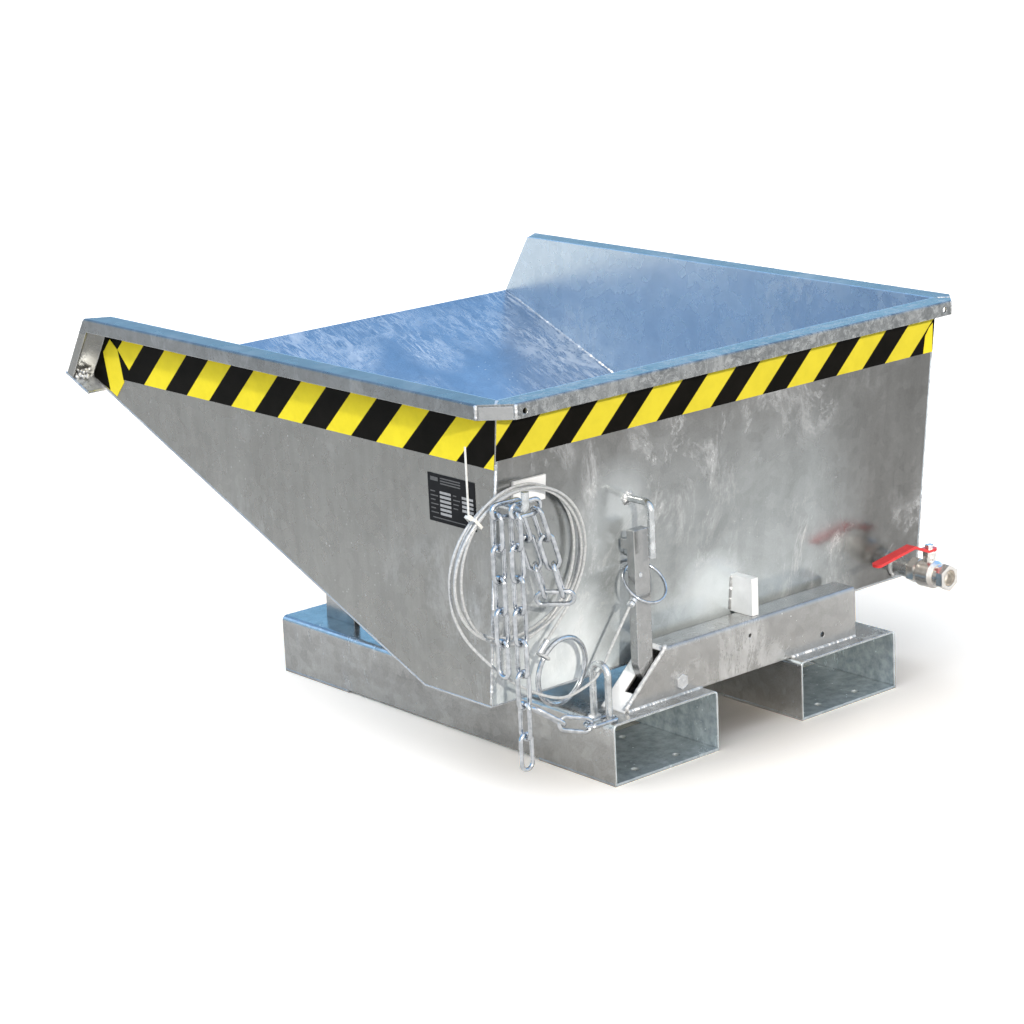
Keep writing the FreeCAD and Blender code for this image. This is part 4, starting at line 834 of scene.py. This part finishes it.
# Tape ends: the side tape folds down along the mouth, the rear tape ends in a strip
def film_into(shape, outline, place, depth):
    # A thin film from a flat outline; place puts each point of the outline on its sheet
    face = shape.faces.new([shape.verts.new(place(*point)) for point in outline])
    grown = bmesh.ops.extrude_face_region(shape, geom=[face])
    moved = [part for part in grown["geom"] if isinstance(part, bmesh.types.BMVert)]
    bmesh.ops.translate(shape, verts=moved, vec=depth)


fold_yellow = bmesh.new()
fold_black = bmesh.new()
film_gap = 0.0001
black_film = 0.0005
yellow_film = 0.0007
rear_film = 0.0006
fold_top = (0.433, 0.504)
fold_inner = (0.414, 0.490)
fold_low = (0.404, 0.443)
fold_tip = (0.426, 0.419)
fold_toe = (0.442, 0.426)
fold_outer = (0.454, 0.482)
mouth_fold = [fold_top, fold_inner, fold_low, fold_tip, fold_toe, fold_outer]
mouth_shade = [fold_outer, fold_toe, (0.483, 0.441), (0.461, 0.479)]
# A black film beside the fold, where the flange shows dark
mouth_dark_patch = [fold_inner, (0.388, 0.464), (0.388, 0.447), (0.405, 0.447)]
rear_strip = [(0.403, 0.502), (0.406, 0.459), (0.387, 0.459), (0.389, 0.485), (0.396, 0.496)]


def side_film(shape, outline, side, thick):
    x = side * (half_width + film_gap)
    film_into(shape, outline, lambda y, z: (x, y, z), (side * thick, 0, 0))


for side in (-1, 1):
    side_film(fold_yellow, mouth_fold, side, yellow_film)
    side_film(fold_black, mouth_shade, side, black_film)
    side_film(fold_black, mouth_dark_patch, side, black_film)
film_into(fold_yellow, rear_strip, lambda x, z: wall_point(x, z, film_gap), (0, -rear_film, 0))
finished(closed(fold_yellow), "tape_folds_yellow", "skip", film_yellow, False)
finished(closed(fold_black), "tape_folds_black", "skip", film_black, False)

# Name plate: blank fields and lines
plate_edge_y = -0.304
plate_edge_z = 0.424
plate_wide = 0.094
plate_high = 0.064
plate_face_x = -0.4079
print_thick = 0.0003
row_start = 0.345
row_step = 0.088
plate_fields = bmesh.new()
plate_lines = bmesh.new()


def plate_patch(shape, left, top, wide, high):
    # A thin patch on the plate; left, top, wide and high are shares of the plate's width and height
    y = plate_edge_y - left * plate_wide
    z = plate_edge_z - top * plate_high
    made = bmesh.ops.create_cube(shape, size=1)
    for vert in made["verts"]:
        vert.co = Vector((plate_face_x + vert.co.x * print_thick,
                          y - (vert.co.y + 0.5) * wide * plate_wide,
                          z - (0.5 - vert.co.z) * high * plate_high))


for row in range(6):
    top = row_start + row_step * row
    plate_patch(plate_fields, 0.250, top, 0.235, 0.052)
    plate_patch(plate_lines, 0.050, top + 0.015, 0.10 + 0.03 * ((row * 2) % 4), 0.022)
for row in range(4):
    top = row_start + row_step * row
    plate_patch(plate_fields, 0.725, top, 0.235, 0.052)
    plate_patch(plate_lines, 0.535, top + 0.015, 0.07 + 0.025 * ((row * 3) % 4), 0.022)
for row in range(3):
    plate_patch(plate_lines, 0.270, 0.060 + 0.055 * row, 0.43, 0.026)
plate_patch(plate_lines, 0.060, 0.070, 0.16, 0.080)
plate_patch(plate_lines, 0.080, 0.905, 0.70, 0.020)
finished(closed(plate_fields), "plate_fields", "skip", field_white, False)
finished(closed(plate_lines), "plate_lines", "skip", field_grey, False)

# Floor: white to the camera, with a shade under the skip
floor_shape = bmesh.new()
bmesh.ops.create_grid(floor_shape, x_segments=1, y_segments=1, size=40)
floor_mesh = bpy.data.meshes.new("studio_floor")
floor_shape.to_mesh(floor_mesh)
floor_shape.free()
floor = bpy.data.objects.new("studio_floor", floor_mesh)
scene.collection.objects.link(floor)
floor_white, tree, shader = new_material("studio_floor")
tree.nodes.remove(shader)
matt_floor = add(tree, "ShaderNodeBsdfDiffuse")
floor_rays = add(tree, "ShaderNodeLightPath")
shade = times(tree, region(tree, (0.0, -0.34, 0.0), (0.26, 0.26, 0.2)), 0.30)
seen_floor = blend_colours(tree, shade, (1.42, 1.26, 1.09), (0.0, 0.0, 0.0))
floor_tone = blend_colours(tree, floor_rays.outputs["Is Camera Ray"], (0.945, 0.84, 0.725), seen_floor)
join(tree, floor_tone, matt_floor.inputs["Color"])
join(tree, matt_floor.outputs["BSDF"], tree.nodes["Material Output"].inputs["Surface"])
floor_mesh.materials.append(floor_white)

# Sky: metal mirrors a blue sky with a white glow round the sun, and a soft box overhead lights the rest
world = bpy.data.worlds.new("studio_sky")
scene.world = world
world.use_nodes = True
tree = world.node_tree
light = tree.nodes["Background"]
light.inputs["Strength"].default_value = 1.25
sky_place = add(tree, "ShaderNodeTexCoord").outputs["Generated"]
sky_apart = add(tree, "ShaderNodeSeparateXYZ")
join(tree, sky_place, sky_apart.inputs["Vector"])
blue_sky = ramp(tree, sky_apart.outputs["Z"], [(0.0, (0.80, 0.84, 0.88)), (0.05, (0.52, 0.74, 0.96)),
                                               (0.16, (0.34, 0.70, 1.0)), (0.55, (0.24, 0.54, 1.0)),
                                               (1.0, (0.20, 0.46, 0.94))])
glow = ramp(tree, dot_of(tree, sky_place, (-0.273, -0.893, 0.358)), [(0.10, 0.0), (0.75, 1.0)])
mirrored_sky = blend_colours(tree, glow, blue_sky, (1.0, 0.98, 0.95))
soft_box = ramp(tree, dot_of(tree, sky_place, (-0.34, 0.36, 0.87)),
                [(0.0, (0.065, 0.073, 0.085)), (0.50, (0.085, 0.0955, 0.111)), (0.82, (1.0, 1.125, 1.302))])
soft_sky = blend_colours(tree, 1.0, soft_box, (1.66, 1.66, 1.66), "MULTIPLY")
sky_rays = add(tree, "ShaderNodeLightPath")
sky_tone = blend_colours(tree, sky_rays.outputs["Is Diffuse Ray"], mirrored_sky, soft_sky)
join(tree, sky_tone, light.inputs["Color"])

# Sun, low and from the rear left
sun_data = bpy.data.lights.new("sun", "SUN")
sun_data.energy = 3.0
sun_data.color = (1.0, 0.93, 0.83)
sun_data.angle = math.radians(2)
sun = bpy.data.objects.new("sun", sun_data)
scene.collection.objects.link(sun)
sun_azimuth = math.radians(-17)
sun_height = math.radians(21)
towards_sun = Vector((math.sin(sun_azimuth) * math.cos(sun_height),
                      -math.cos(sun_azimuth) * math.cos(sun_height),
                      math.sin(sun_height)))
sun.rotation_euler = towards_sun.to_track_quat("Z", "Y").to_euler()
# The floor takes its soft shadow from the sky alone.
unlit_stage = bpy.data.collections.new("unlit_stage")
unlit_stage.objects.link(floor)
sun.light_linking.receiver_collection = unlit_stage
unlit_stage.collection_objects[0].light_linking.link_state = "EXCLUDE"
